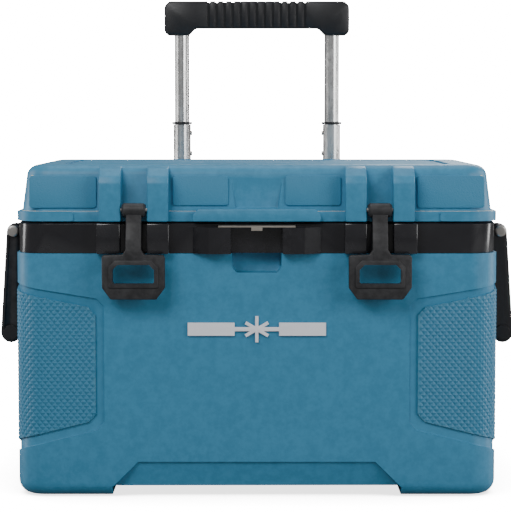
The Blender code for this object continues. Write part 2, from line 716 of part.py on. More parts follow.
def build_tubes(side, word):
    x = side * TUBE_X
    axis = (x, TUBE_Y, 0)
    bush = pipe(
        f"housing_bush_{word}", 16 * MM, 12.9 * MM, HOUSING_TOP + GAP, HOUSING_TOP + 4.4 * MM, axis,
        "Z", "black_rubber",
    )
    cut(bush, button_slot(f"bush_slot_{word}", side, 330 * MM, 350 * MM))
    lower = pipe(
        f"lower_tube_{word}", LOWER_RADIUS, LOWER_BORE, LOWER_BOTTOM, LOWER_TOP, axis, "Z",
        "bright_aluminium", steps=24,
    )
    cut(lower, detent(f"detent_slot_{word}", side, 0.4 * MM, 8 * MM))
    detent(f"detent_leaf_{word}", side, 0, 10.95 * MM, "black_moulding")
    pipe(
        f"lower_bush_{word}", 14.4 * MM, 10.75 * MM, LOWER_TOP + GAP, LOWER_TOP + 4 * MM, axis, "Z",
        "black_moulding"
    )

    upper_top = GRIP_BOTTOM + 8 * MM
    upper = pipe(
        f"upper_tube_{word}", UPPER_RADIUS, UPPER_BORE, UPPER_BOTTOM, upper_top, axis, "Z",
        "bright_aluminium", steps=24,
    )
    pin_spot = (x, TUBE_Y, UPPER_BOTTOM + 9 * MM)
    ends = sorted((-side * 2 * MM, -side * 16 * MM))
    cut(upper, rod(f"pin_hole_{word}", 2.8 * MM, *ends, pin_spot, "X", steps=16))
    plug = rod(
        f"tube_plug_{word}", 9 * MM, UPPER_BOTTOM + 0.5 * MM, UPPER_BOTTOM + 17 * MM, axis, "Z",
        "black_moulding"
    )
    ends = sorted((side * 6 * MM, -side * 16 * MM))
    cut(plug, rod(f"plug_bore_{word}", 2.7 * MM, *ends, pin_spot, "X", steps=16))
    ends = sorted((-side * 0.5 * MM, -side * 10.3 * MM))
    rod(f"lock_pin_{word}", 2.4 * MM, *ends, pin_spot, "X", "steel", steps=16)
    rod(f"pull_rod_{word}", 2.5 * MM, UPPER_BOTTOM + 22 * MM, 602.6 * MM, axis, "Z", "steel", steps=12)


def build_grip():
    origin = (0, TUBE_Y, GRIP_BOTTOM)
    end_outline = [(88, 589), (97, GRIP_BOTTOM / MM), (127, GRIP_BOTTOM / MM), (GRIP_HALF / MM, 584)]
    end_outline += [(GRIP_HALF / MM, 620), (125, GRIP_TOP / MM)]
    right = [(x * MM, z * MM) for x, z in end_outline]
    outline = right + [(-x, z) for x, z in right[::-1]]
    grip = prism(
        "handle_grip", outline, TUBE_Y - GRIP_THICK, TUBE_Y + GRIP_THICK, "Y", "black_moulding", origin
    )
    edges = grip.modifiers.new("soft_edges", "BEVEL")
    edges.width = 3 * MM
    edges.segments = 2
    edges.limit_method = "ANGLE"
    room = 0.6 * MM
    helpers = [
        box(
            "yoke_tunnel", (-112 * MM, TUBE_Y - 5.5 * MM, 597.5 * MM),
            (112 * MM, TUBE_Y + 5.5 * MM, 611 * MM)
        ),
        box(
            "button_pocket", (-BUTTON_HALF - room, TUBE_Y - BUTTON_THICK - room, 609 * MM),
            (BUTTON_HALF + room, TUBE_Y + BUTTON_THICK + room, 640 * MM)
        ),
        rod("spring_pocket", 5.5 * MM, 592 * MM, 600 * MM, (0, TUBE_Y, 0), "Z", steps=16),
    ]
    for side in (-1, 1):
        axis = (side * TUBE_X, TUBE_Y, 0)
        helpers.append(
            rod(f"tube_socket_{side}", 10.9 * MM, 560 * MM, GRIP_BOTTOM + 9 * MM, axis, "Z", steps=24)
        )
        helpers.append(rod(f"rod_passage_{side}", 3.6 * MM, 580 * MM, 600 * MM, axis, "Z", steps=16))
    cut(grip, *helpers)

    button_low = (-BUTTON_HALF, TUBE_Y - BUTTON_THICK, 614 * MM)
    button = box(
        "release_button", button_low, (BUTTON_HALF, TUBE_Y + BUTTON_THICK, GRIP_TOP), "black_moulding",
        MM, origin
    )
    stem = box("button_stem", (-8 * MM, TUBE_Y - 4 * MM, 606 * MM), (8 * MM, TUBE_Y + 4 * MM, 616 * MM))
    yoke = box("button_yoke", (-111 * MM, TUBE_Y - 4 * MM, 603 * MM), (111 * MM, TUBE_Y + 4 * MM, 608 * MM))
    join(button, stem, yoke)

    spring = bpy.data.curves.new("button_spring", "CURVE")
    spring.dimensions = "3D"
    spring.bevel_depth = 0.6 * MM
    spring.bevel_resolution = 1
    spring.use_fill_caps = True
    turns, per_turn = 4, 10
    line = spring.splines.new("POLY")
    line.points.add(turns * per_turn)
    bottom, top = 593 * MM, 602 * MM
    for i, point in enumerate(line.points):
        angle = math.tau * i / per_turn
        height = bottom + (top - bottom) * i / (turns * per_turn)
        point.co = (3.4 * MM * math.cos(angle), 3.4 * MM * math.sin(angle), height, 1)
    spring.materials.append(finish_of("steel"))
    coil = bpy.data.objects.new("button_spring", spring)
    coil.location = (0, TUBE_Y, 0)
    bpy.context.scene.collection.objects.link(coil)


# Wheels

def build_wheels():
    """The axle has a formed head at its left end and a push-on cap at its right end."""
    centre = (0, AXLE_Y, WHEEL_RADIUS)
    axle = [(0, 287), (5, 287), (5, -280.8), (11, -280.8), (11, -284), (8, -288), (0, -289)]
    turned("axle", [(radius * MM, along * MM) for radius, along in axle], centre, "X", "steel", steps=20)
    cap = [(5.3, 280.8), (11, 280.8), (11, 284), (9, 288), (0, 289.2), (0, 287.4), (5.3, 287.4)]
    turned("axle_cap", [(radius * MM, along * MM) for radius, along in cap], centre, "X", "steel", steps=20)
    for side, word in ((-1, "left"), (1, "right")):
        centre = (side * (WHEEL_INNER + WHEEL_OUTER) / 2, AXLE_Y, WHEEL_RADIUS)
        hub = [(7.9, -21), (16, -21), (17, -7), (47, -7), (50, -19), (58, -19)]
        hub += [(58, 19), (50, 19), (47, 7), (17, 7), (16, 21), (7.9, 21)]
        hub = [(radius * MM, along * MM) for radius, along in hub]
        turned(f"wheel_hub_{word}", hub, centre, "X", "black_moulding", steps=28)
        tyre = [(58.4, -20), (63, -21), (68, -18.5), (70, -13), (70, 13), (68, 18.5), (63, 21), (58.4, 20)]
        tyre = [(radius * MM, along * MM) for radius, along in tyre]
        turned(f"tyre_{word}", tyre, centre, "X", "tyre_grey", steps=36)
        start, end = sorted((-side * 26.4 * MM, side * 21.4 * MM))
        pipe(f"wheel_bush_{word}", 7.6 * MM, 5.3 * MM, start, end, centre, "X", "liner_white", steps=20)


# Drain and emblem

def build_drain():
    axis = (0, DRAIN_Y, DRAIN_Z)
    spout = [(9, 252), (13, 252), (13, 294.3), (20, 294.3), (20, 298), (9, 298)]
    turned("drain_spout", [(r * MM, x * MM) for r, x in spout], axis, "X", "black_moulding")
    rod("drain_stem", 8.6 * MM, 276 * MM, 305.5 * MM, axis, "X", "black_moulding")
    pipe("drain_seal", 16 * MM, 9.1 * MM, 298.3 * MM, 300.3 * MM, axis, "X", "black_rubber")
    cap = [(0, 306), (9, 306), (9, 300.7), (19, 300.7), (19, 308), (17, 310), (0, 310)]
    cap = turned("drain_cap", [(r * MM, x * MM) for r, x in cap], axis, "X", "black_moulding")
    bar_low = (308 * MM, DRAIN_Y - 3 * MM, DRAIN_Z - 15 * MM)
    join(cap, box("cap_bar", bar_low, (317 * MM, DRAIN_Y + 3 * MM, DRAIN_Z + 15 * MM), bevel=MM))


def build_emblem():
    """A bar each side of a six-armed snow star, raised in one moulding."""
    middle = 206 * MM
    back, face = FRONT - 0.4 * MM, FRONT - 2.8 * MM
    emblem = box(
        "front_emblem", (-83 * MM, face, middle - 2.5 * MM), (83 * MM, back, middle + 2.5 * MM),
        "emblem_white"
    )
    pieces = []
    for side in (-1, 1):
        low, high = sorted((side * 27 * MM, side * 84 * MM))
        pieces.append(box(f"emblem_bar_{side}", (low, face, middle - 8 * MM), (high, back, middle + 8 * MM)))
    for turn in (30, 90, 150):
        arm = [(-16, -2), (16, -2), (16, 2), (-16, 2)]
        c, s = math.cos(math.radians(turn)), math.sin(math.radians(turn))
        points = [((x * c - z * s) * MM, middle + (x * s + z * c) * MM) for x, z in arm]
        pieces.append(prism(f"emblem_arm_{turn}", points, face, back, "Y"))
    join(emblem, *pieces)


def main():
    clear_scene()
    build_body()
    build_collar()
    build_opener()
    build_lid()
    build_chassis()
    for side, word in ((-1, "left"), (1, "right")):
        build_latch(side, word)
        build_side_handle(side, word)
        build_tubes(side, word)
    build_grip()
    build_wheels()
    build_drain()
    build_emblem()


main()
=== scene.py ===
"""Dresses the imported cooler: mouldings, metals, rubber, textures and the studio it stands in."""

import math

import bmesh
import bpy
from bpy.props import FloatProperty, FloatVectorProperty, IntProperty, PointerProperty
from mathutils import Matrix, Vector


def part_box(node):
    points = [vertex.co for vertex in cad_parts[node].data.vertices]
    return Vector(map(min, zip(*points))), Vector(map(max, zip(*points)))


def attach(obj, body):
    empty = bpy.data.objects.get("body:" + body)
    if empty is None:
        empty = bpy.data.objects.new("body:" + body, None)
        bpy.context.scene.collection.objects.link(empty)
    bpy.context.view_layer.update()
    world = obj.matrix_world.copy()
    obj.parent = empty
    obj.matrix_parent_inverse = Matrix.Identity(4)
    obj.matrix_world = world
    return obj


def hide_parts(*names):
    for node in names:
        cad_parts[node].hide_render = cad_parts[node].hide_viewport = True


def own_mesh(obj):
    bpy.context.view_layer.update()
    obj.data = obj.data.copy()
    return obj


bl_info = {
    "name": "Wheeled cooler looks",
    "version": (1, 0, 0),
    "blender": (4, 5, 0),
    "location": "3D View > Sidebar > Cooler",
    "description": "Builds the visible pieces of a wheeled cooler around its packed frame",
    "category": "Object",
}

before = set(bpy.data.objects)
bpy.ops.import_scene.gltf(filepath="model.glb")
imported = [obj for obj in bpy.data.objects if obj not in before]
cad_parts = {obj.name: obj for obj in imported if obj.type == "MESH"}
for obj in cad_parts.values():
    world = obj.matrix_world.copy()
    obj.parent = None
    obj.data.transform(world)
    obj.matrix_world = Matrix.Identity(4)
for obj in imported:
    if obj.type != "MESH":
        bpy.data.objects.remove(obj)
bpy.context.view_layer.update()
MM = 0.001
SIDES = ((-1, "left"), (1, "right"))

BODY_LOW, BODY_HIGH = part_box("body_shell")
LID_LOW, LID_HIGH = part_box("lid_shell")
LINER_LOW, LINER_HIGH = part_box("inner_liner")
GRIP_LOW, GRIP_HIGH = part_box("handle_grip")
FRONT = BODY_LOW.y
BACK = BODY_HIGH.y
CORNER = 34 * MM


# Node helpers

def socket(group, name, kind, in_out, value=None):
    item = group.interface.new_socket(name=name, socket_type=kind, in_out=in_out)
    if value is not None:
        item.default_value = value
    return item


def wire(tree, start, end):
    tree.links.new(start, end)


def math_node(tree, operation, first, second=None, third=None):
    node = tree.nodes.new("ShaderNodeMath")
    node.operation = operation
    for i, value in enumerate((first, second, third)):
        if value is None:
            continue
        if isinstance(value, (int, float)):
            node.inputs[i].default_value = value
        else:
            wire(tree, value, node.inputs[i])
    return node.outputs[0]


def noise(tree, vector, scale, detail=3.0, roughness=0.55):
    node = tree.nodes.new("ShaderNodeTexNoise")
    wire(tree, vector, node.inputs["Vector"])
    if isinstance(scale, (int, float)):
        node.inputs["Scale"].default_value = scale
    else:
        wire(tree, scale, node.inputs["Scale"])
    node.inputs["Detail"].default_value = detail
    node.inputs["Roughness"].default_value = roughness
    return node.outputs["Fac"]


def span(tree, value, low, high, to_low=0.0, to_high=1.0):
    node = tree.nodes.new("ShaderNodeMapRange")
    wire(tree, value, node.inputs["Value"])
    node.inputs["From Min"].default_value = low
    node.inputs["From Max"].default_value = high
    node.inputs["To Min"].default_value = to_low
    node.inputs["To Max"].default_value = to_high
    return node.outputs["Result"]


def blend_colours(tree, factor, first, second):
    node = tree.nodes.new("ShaderNodeMix")
    node.data_type = "RGBA"
    wire(tree, factor, node.inputs["Factor"])
    for i, value in ((6, first), (7, second)):
        if isinstance(value, tuple):
            node.inputs[i].default_value = value
        else:
            wire(tree, value, node.inputs[i])
    return node.outputs[2]


def new_group(name, inputs, outputs):
    group = bpy.data.node_groups.new(name, "ShaderNodeTree")
    for label, kind, value in inputs:
        socket(group, label, kind, "INPUT", value)
    for label, kind in outputs:
        socket(group, label, kind, "OUTPUT")
    return group, group.nodes.new("NodeGroupInput"), group.nodes.new("NodeGroupOutput")


FLOAT, COLOUR, VECTOR = "NodeSocketFloat", "NodeSocketColor", "NodeSocketVector"


def moulded_skin_group():
    """Fine spark grain, slow flow marks and faint scuffs of a moulded plastic."""
    group, given, result = new_group(
        "Moulded skin",
        [
            ("Vector", VECTOR, None), ("Colour", COLOUR, None), ("Roughness", FLOAT, 0.5), ("Grain", FLOAT, 1.0),
            ("Dust", FLOAT, 0.005),
        ],
        [("Colour", COLOUR), ("Roughness", FLOAT), ("Height", FLOAT)],
    )
    vector = given.outputs["Vector"]
    fine = noise(group, vector, 1500, 2.0)
    pebble = noise(group, vector, 520, 1.5)
    flow = noise(group, vector, 7, 3.0)
    streak = noise(group, vector, 48, 4.0, 0.7)
    shade = math_node(group, "ADD", span(group, flow, 0.3, 0.7, 0.993, 1.007), span(group, streak, 0.3, 0.7, -0.004, 0.004))
    tint = group.nodes.new("ShaderNodeHueSaturation")
    wire(group, given.outputs["Colour"], tint.inputs["Color"])
    wire(group, shade, tint.inputs["Value"])
    settled = span(group, math_node(group, "MULTIPLY", streak, flow), 0.24, 0.46)
    dust = math_node(group, "MULTIPLY", settled, given.outputs["Dust"])
    wire(group, blend_colours(group, dust, tint.outputs["Color"], (0.42, 0.47, 0.50, 1)), result.inputs["Colour"])
    rough = math_node(group, "ADD", given.outputs["Roughness"], span(group, streak, 0.3, 0.7, -0.02, 0.025))
    wire(group, math_node(group, "ADD", rough, span(group, fine, 0.3, 0.7, -0.03, 0.03)), result.inputs["Roughness"])
    both = math_node(group, "ADD", math_node(group, "MULTIPLY", fine, 0.35), math_node(group, "MULTIPLY", pebble, 0.65))
    wire(group, math_node(group, "MULTIPLY", both, given.outputs["Grain"]), result.inputs["Height"])
    return group


def edge_wear_and_highlight_group():
    """A mask that is strong on outward edges, broken up by noise."""
    group, given, result = new_group(
        "Edge rub", [("Vector", VECTOR, None), ("Amount", FLOAT, 0.5)], [("Mask", FLOAT)]
    )
    geometry = group.nodes.new("ShaderNodeNewGeometry")
    edge = span(group, geometry.outputs["Pointiness"], 0.52, 0.6)
    broken = span(group, noise(group, given.outputs["Vector"], 90, 4.0, 0.7), 0.38, 0.62)
    mask = math_node(group, "MULTIPLY", math_node(group, "MULTIPLY", edge, broken), given.outputs["Amount"])
    wire(group, mask, result.inputs["Mask"])
    return group


def brushed_group():
    """Drawn lines that run along one axis of a metal bar, with faint handling marks."""
    group, given, result = new_group(
        "Drawn metal",
        [("Vector", VECTOR, None), ("Stretch", VECTOR, None), ("Roughness", FLOAT, 0.25)],
        [("Shade", FLOAT), ("Roughness", FLOAT), ("Height", FLOAT)],
    )
    scaled = group.nodes.new("ShaderNodeVectorMath")
    scaled.operation = "MULTIPLY"
    wire(group, given.outputs["Vector"], scaled.inputs[0])
    wire(group, given.outputs["Stretch"], scaled.inputs[1])
    lines = noise(group, scaled.outputs[0], 1.0, 4.0, 0.6)
    marks = noise(group, given.outputs["Vector"], 35, 4.0, 0.65)
    wire(group, span(group, lines, 0.3, 0.7, 0.9, 1.05), result.inputs["Shade"])
    rough = math_node(group, "ADD", given.outputs["Roughness"], span(group, lines, 0.3, 0.7, -0.05, 0.07))
    wire(group, math_node(group, "ADD", rough, span(group, marks, 0.45, 0.7, 0.0, 0.1)), result.inputs["Roughness"])
    wire(group, lines, result.inputs["Height"])
    return group


GROUPS = {}


def group_of(name):
    makers = {"Moulded skin": moulded_skin_group, "Edge rub": edge_wear_and_highlight_group, "Drawn metal": brushed_group}
    if name not in GROUPS:
        GROUPS[name] = makers[name]()
    return GROUPS[name]


def use_group(tree, name, **values):
    node = tree.nodes.new("ShaderNodeGroup")
    node.node_tree = group_of(name)
    for label, value in values.items():
        target = node.inputs[label]
        if isinstance(value, bpy.types.NodeSocket):
            wire(tree, value, target)
        else:
            target.default_value = value
    return node


def start_material(name, roughness, metallic, coat=0.0, sheen=0.0, specular=0.5):
    material = bpy.data.materials.new(name)
    material.use_nodes = True
    tree = material.node_tree
    shader = tree.nodes["Principled BSDF"]
    shader.inputs["Roughness"].default_value = roughness
    shader.inputs["Metallic"].default_value = metallic
    shader.inputs["Specular IOR Level"].default_value = specular
    shader.inputs["Coat Weight"].default_value = coat
    shader.inputs["Coat Roughness"].default_value = 0.18
    shader.inputs["Sheen Weight"].default_value = sheen
    coordinates = tree.nodes.new("ShaderNodeTexCoord")
    return material, tree, shader, coordinates.outputs["Object"]


def bump(tree, shader, height, distance, strength=1.0):
    node = tree.nodes.new("ShaderNodeBump")
    node.inputs["Distance"].default_value = distance
    node.inputs["Strength"].default_value = strength
    wire(tree, height, node.inputs["Height"])
    wire(tree, node.outputs["Normal"], shader.inputs["Normal"])


def moulded(name, colour, roughness, grain_depth=0.00008, rub_and_highlight=0.3, rub_and_highlight_colour=None, coat=0.0, sheen=0.0, dust=0.005):
    """A plastic or rubber moulding: grain, flow marks and lightened edges. The lightened edges are rubbed wear, and
    where the edge mask is strong, as on the diamond panel, they are painted highlights.
    """
    material, tree, shader, place = start_material(name, roughness, 0.0, coat, sheen)
    skin = use_group(tree, "Moulded skin", Vector=place, Colour=(*colour, 1), Roughness=roughness, Dust=dust)
    edge_wear_and_highlight = use_group(tree, "Edge rub", Vector=place, Amount=rub_and_highlight)
    lighter = rub_and_highlight_colour or tuple(min(1.0, channel * 1.5 + 0.03) for channel in colour)
    mixed = blend_colours(tree, edge_wear_and_highlight.outputs["Mask"], skin.outputs["Colour"], (*lighter, 1))
    wire(tree, mixed, shader.inputs["Base Color"])
    wire(tree, skin.outputs["Roughness"], shader.inputs["Roughness"])
    bump(tree, shader, skin.outputs["Height"], grain_depth)
    return material


def drawn_metal(name, colour, roughness, stretch):
    """A metal bar or sheet with drawn lines along it."""
    material, tree, shader, place = start_material(name, roughness, 1.0)
    lines = use_group(tree, "Drawn metal", Vector=place, Stretch=stretch, Roughness=roughness)
    tint = tree.nodes.new("ShaderNodeHueSaturation")
    tint.inputs["Color"].default_value = (*colour, 1)
    wire(tree, lines.outputs["Shade"], tint.inputs["Value"])
    wire(tree, tint.outputs["Color"], shader.inputs["Base Color"])
    wire(tree, lines.outputs["Roughness"], shader.inputs["Roughness"])
    bump(tree, shader, lines.outputs["Height"], 0.00002)
    return material


def foam_material():
    """Cut rigid foam: open cells over a slightly uneven cream colour."""
    material, tree, shader, place = start_material("insulating foam", 0.9, 0.0)
    cells = tree.nodes.new("ShaderNodeTexVoronoi")
    cells.inputs["Scale"].default_value = 700
    wire(tree, place, cells.inputs["Vector"])
    patches = span(tree, noise(tree, place, 30, 3.0), 0.3, 0.7)
    colour = blend_colours(tree, patches, (0.86, 0.80, 0.60, 1), (0.76, 0.69, 0.48, 1))
    wire(tree, colour, shader.inputs["Base Color"])
    wire(tree, span(tree, cells.outputs["Distance"], 0.0, 0.8, 0.8, 0.98), shader.inputs["Roughness"])
    bump(tree, shader, cells.outputs["Distance"], 0.0004)
    return material


# Mesh helpers

def bevelled(bm, edges, width, segments=2):
    bmesh.ops.bevel(
        bm, geom=edges, offset=width, affect="EDGES", segments=segments, profile=0.5,
        material=-1, clamp_overlap=True,
    )


def block(low, high, corner=0.0, corner_steps=10, rim=0.0, rim_steps=3):
    """A box with its upright edges rounded by corner and all the others by rim."""
    bm = bmesh.new()
    size = [b - a for a, b in zip(low, high)]
    centre = [(a + b) / 2 for a, b in zip(low, high)]
    bmesh.ops.create_cube(bm, size=1, matrix=Matrix.Translation(centre) @ Matrix.Diagonal((*size, 1)))
    if corner:
        upright = [e for e in bm.edges if abs(e.verts[0].co.z - e.verts[1].co.z) > 0.5 * size[2]]
        bevelled(bm, upright, corner, corner_steps)
    if rim:
        ends = [e for e in bm.edges if abs(e.verts[0].co.z - e.verts[1].co.z) < 1e-6]
        ends = [e for e in ends if min(abs(e.verts[0].co.z - low[2]), abs(e.verts[0].co.z - high[2])) < 1e-6]
        bevelled(bm, ends if corner else bm.edges[:], rim, rim_steps)
    return bm


def spun(profile, centre, axis, steps=48, closed=True):
    """A turned shape: profile points are (radius, distance along the axis)."""
    bm = bmesh.new()
    verts = [bm.verts.new((radius, 0, along)) for radius, along in profile]
    pairs = zip(verts, verts[1:] + (verts[:1] if closed else []))
    edges = [bm.edges.new(pair) for pair in pairs]
    bmesh.ops.spin(
        bm, geom=verts + edges, cent=(0, 0, 0), axis=(0, 0, 1), angle=math.tau, steps=steps, use_merge=True,
    )
    bmesh.ops.remove_doubles(bm, verts=bm.verts, dist=1e-6)
    turn = {
        "X": Matrix.Rotation(math.radians(90), 4, "Y"),
        "Y": Matrix.Rotation(math.radians(-90), 4, "X"),
        "Z": Matrix.Identity(4),
    }[axis]
    bmesh.ops.transform(bm, matrix=Matrix.Translation(centre) @ turn, verts=bm.verts)
    bmesh.ops.recalc_face_normals(bm, faces=bm.faces)
    return bm


def slab(outline, start, end, axis, bevel=0.0, segments=2):
    """A flat outline drawn out along X (points are y, z), Y (x, z) or Z (x, y)."""
    bm = bmesh.new()
    index = "XYZ".index(axis)
    verts = []
    for point in outline:
        place = list(point)
        place.insert(index, start)
        verts.append(bm.verts.new(place))
    face = bm.faces.new(verts)
    moved = bmesh.ops.extrude_face_region(bm, geom=[face])
    shift = Vector((0, 0, 0))
    shift[index] = end - start
    tops = [item for item in moved["geom"] if isinstance(item, bmesh.types.BMVert)]
    bmesh.ops.translate(bm, verts=tops, vec=shift)
    bmesh.ops.recalc_face_normals(bm, faces=bm.faces)
    if bevel:
        bevelled(bm, bm.edges[:], bevel, segments)
    return bm


def piece(bm, name, material=None, body=None, replaces=(), angle=35, clean=True):
    """The bmesh as an object at the origin. With a body it rides on it, or else it is a helper."""
    if clean:
        bmesh.ops.remove_doubles(bm, verts=bm.verts, dist=1e-6)
        bmesh.ops.recalc_face_normals(bm, faces=bm.faces)
    mesh = bpy.data.meshes.new(name)
    bm.to_mesh(mesh)
    bm.free()
    obj = bpy.data.objects.new(name, mesh)
    bpy.context.scene.collection.objects.link(obj)
    mesh.shade_smooth()
    mesh.set_sharp_from_angle(angle=math.radians(angle))
    if material:
        mesh.materials.append(material)
    if body:
        settle(obj, body, replaces)
    return obj


def settle(obj, body, replaces=()):
    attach(obj, body)
    for node in replaces:
        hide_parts(node)
    return obj


def carve(obj, helper, operation="DIFFERENCE"):
    """Applies one Boolean and removes the helper."""
    modifier = obj.modifiers.new("carve", "BOOLEAN")
    modifier.operation = operation
    modifier.solver = "EXACT"
    modifier.object = helper
    graph = bpy.context.evaluated_depsgraph_get()
    mesh = bpy.data.meshes.new_from_object(obj.evaluated_get(graph))
    obj.modifiers.clear()
    old = obj.data
    obj.data = mesh
    mesh.name = old.name
    bpy.data.meshes.remove(old)
    bpy.data.objects.remove(helper)
    return obj


def cut(obj, *meshes):
    for bm in meshes:
        carve(obj, piece(bm, "cutter"))
    return obj


def add(obj, *meshes):
    for bm in meshes:
        carve(obj, piece(bm, "added"), "UNION")
    return obj


def soften(obj, width, segments=3, angle=28, merge=True):
    """Rounds every sharp edge of a finished boolean shape a little, and evens the shading."""
    bm = bmesh.new()
    bm.from_mesh(obj.data)
    bmesh.ops.remove_doubles(bm, verts=bm.verts, dist=2e-6)
    if merge:
        bmesh.ops.dissolve_limit(bm, angle_limit=math.radians(1.0), verts=bm.verts, edges=bm.edges)
    bmesh.ops.triangulate(bm, faces=[face for face in bm.faces if len(face.verts) > 4])
    bm.to_mesh(obj.data)
    bm.free()
    rounding = obj.modifiers.new("soft edges", "BEVEL")
    rounding.width = width
    rounding.segments = segments
    rounding.limit_method = "ANGLE"
    rounding.angle_limit = math.radians(angle)
    rounding.harden_normals = True
    rounding.miter_outer = "MITER_ARC"
    obj.data.shade_smooth()
    return obj


def from_node(node, name, material, width, body, cuts=(), segments=3):
    """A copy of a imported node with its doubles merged, cut, and its edges softened, which replaces it."""
    bm = bmesh.new()
    bm.from_mesh(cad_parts[node].data)
    bmesh.ops.remove_doubles(bm, verts=bm.verts, dist=2e-6)
    obj = piece(bm, name, clean=False, angle=30)
    cut(obj, *cuts)
    obj.data.materials.clear()
    obj.data.materials.append(material)
    if width:
        soften(obj, width, segments)
    settle(obj, body, [node])
    return obj


# Settings

class CoolerColours(bpy.types.PropertyGroup):
    blue: FloatVectorProperty(
        name="Moulding blue", description="Colour of the body and the lid", subtype="COLOR",
        default=(0.039, 0.222, 0.382), min=0, max=1,
    )
    black: FloatVectorProperty(
        name="Moulding black", description="Colour of handles and housings", subtype="COLOR",
        default=(0.012, 0.012, 0.014), min=0, max=1,
    )
    collar: FloatVectorProperty(
        name="Collar black", description="Colour of the glossy collar", subtype="COLOR",
        default=(0.014, 0.014, 0.017), min=0, max=1,
    )
    rubber: FloatVectorProperty(
        name="Rubber", description="Colour of the latches and seals", subtype="COLOR",
        default=(0.016, 0.016, 0.018), min=0, max=1,
    )
    liner: FloatVectorProperty(
        name="Liner white", description="Colour of the inside", subtype="COLOR",
        default=(0.74, 0.76, 0.77), min=0, max=1,
    )
    emblem: FloatVectorProperty(
        name="Emblem white", description="Colour of the raised emblem", subtype="COLOR",
        default=(0.88, 0.90, 0.95), min=0, max=1,
    )


class CoolerTextures(bpy.types.PropertyGroup):
    diamond_width: FloatProperty(
        name="Diamond width", description="Width of one raised diamond on the corner panels",
        default=7.7 * MM, min=3 * MM, unit="LENGTH",
    )
    diamond_height: FloatProperty(
        name="Diamond height", description="Height of one raised diamond", default=8.7 * MM, min=3 * MM, unit="LENGTH",
    )
    diamond_rise: FloatProperty(
        name="Diamond rise", description="How far a diamond's point stands out", default=1.1 * MM, min=0, unit="LENGTH",
    )
    groove_depth: FloatProperty(
        name="Border depth", description="Depth of the sunk border round each corner panel",
        default=2.2 * MM, min=0, unit="LENGTH",
    )
    grip_ribs: IntProperty(name="Grip ribs", description="Raised ribs on the pull handle", default=12, min=2)
    tread_blocks: IntProperty(name="Tread blocks", description="Blocks round each tyre", default=36, min=8)


def colours():
    return bpy.context.scene.cooler_colours


def textures():
    return bpy.context.scene.cooler_textures


MATERIALS = {}


def finish(name):
    """The named finish, made on first use from the scene's colours."""
    if name in MATERIALS:
        return MATERIALS[name]
    shades = colours()
    along_x, along_y, along_z = (60, 2500, 2500), (2500, 60, 2500), (2500, 2500, 60)
    makers = {
        "blue shell": lambda: moulded("blue shell moulding", shades.blue, 0.46, 0.00006, 0.25),
        "pebbled blue": lambda: moulded("pebbled blue moulding", shades.blue, 0.62, 0.0005, 0.15),
        # Painted shade and highlights: this darker copy of the blue, with its strong edge mask lightening every diamond
        # point, paints the light and shade of the raised diamonds on top of edge wear.
        "diamond blue": lambda: moulded(
            "diamond blue moulding", tuple(c * 0.92 for c in shades.blue), 0.5, 0.00005, 0.55, (0.13, 0.32, 0.42)
        ),
        "black moulding": lambda: moulded("black grained moulding", shades.black, 0.42, 0.00012, 0.35),
        "collar gloss": lambda: moulded("glossy black collar", shades.collar, 0.22, 0.00003, 0.2, coat=0.35),
        "latch rubber": lambda: moulded("latch rubber", shades.rubber, 0.5, 0.00009, 0.25, (0.09, 0.09, 0.095)),
        "seal rubber": lambda: moulded("seal rubber", shades.rubber, 0.7, 0.00015, 0.2),
        "tyre rubber": lambda: moulded("tyre rubber", (0.035, 0.035, 0.037), 0.72, 0.0002, 0.5, (0.12, 0.12, 0.115)),
        "hub moulding": lambda: moulded("hub moulding", (0.03, 0.03, 0.033), 0.4, 0.0001, 0.3),
        "liner white": lambda: moulded("white liner moulding", shades.liner, 0.3, 0.00004, 0.1, (0.8, 0.81, 0.81)),
        "nylon": lambda: moulded("bush nylon", (0.55, 0.54, 0.5), 0.4, 0.00005, 0.2),
        "emblem white": lambda: moulded("emblem white moulding", shades.emblem, 0.3, 0.00003, 0.1, (0.85, 0.87, 0.9)),
        "foam": foam_material,
        "tube metal": lambda: drawn_metal("drawn aluminium tube", (0.80, 0.80, 0.79), 0.24, along_z),
        "cross steel": lambda: drawn_metal("drawn steel across", (0.56, 0.54, 0.51), 0.32, along_x),
        "depth steel": lambda: drawn_metal("drawn steel front to back", (0.42, 0.40, 0.38), 0.38, along_y),
        "plate steel": lambda: drawn_metal("bright plate steel", (0.72, 0.66, 0.58), 0.3, along_x),
    }
    MATERIALS[name] = makers[name]()
    return MATERIALS[name]


def wrap_round(bm, side, half, front, radius):
    """Bends a flat piece, drawn as (distance from the middle, depth, height), round a front corner."""
    straight = half - radius
    arc = radius * math.pi / 2
    for vert in bm.verts:
        along, depth, height = vert.co
        if along <= straight:
            x, y = along, front + depth
        elif along <= straight + arc:
            angle = (along - straight) / radius
            x = straight + (radius - depth) * math.sin(angle)
            y = front + radius - (radius - depth) * math.cos(angle)
        else:
            x, y = half - depth, front + radius + along - straight - arc
        vert.co = (side * x, y, height)
    bmesh.ops.recalc_face_normals(bm, faces=bm.faces)
    return bm


def slice_along(bm, start, end, count):
    """Extra edge loops across a flat piece, so that it can follow a curve."""
    for step in range(count + 1):
        place = (start + (end - start) * step / count, 0, 0)
        geom = bm.verts[:] + bm.edges[:] + bm.faces[:]
        bmesh.ops.bisect_plane(bm, geom=geom, dist=1e-7, plane_co=place, plane_no=(1, 0, 0))
    return bm


def trim_to(bm, outline):
    """Keeps what lies inside a convex outline of (along, height) points, given anticlockwise."""
    for (x_1, z_1), (x_2, z_2) in zip(outline, outline[1:] + outline[:1]):
        outward = Vector((z_2 - z_1, 0, x_1 - x_2)).normalized()
        geom = bm.verts[:] + bm.edges[:] + bm.faces[:]
        bmesh.ops.bisect_plane(
            bm, geom=geom, dist=1e-7, plane_co=(x_1, 0, z_1), plane_no=outward, clear_outer=True
        )
    return bm


PANEL_END = 383 * MM
CORNER_START = BODY_HIGH.x - CORNER
CORNER_ARC = CORNER * math.pi / 2


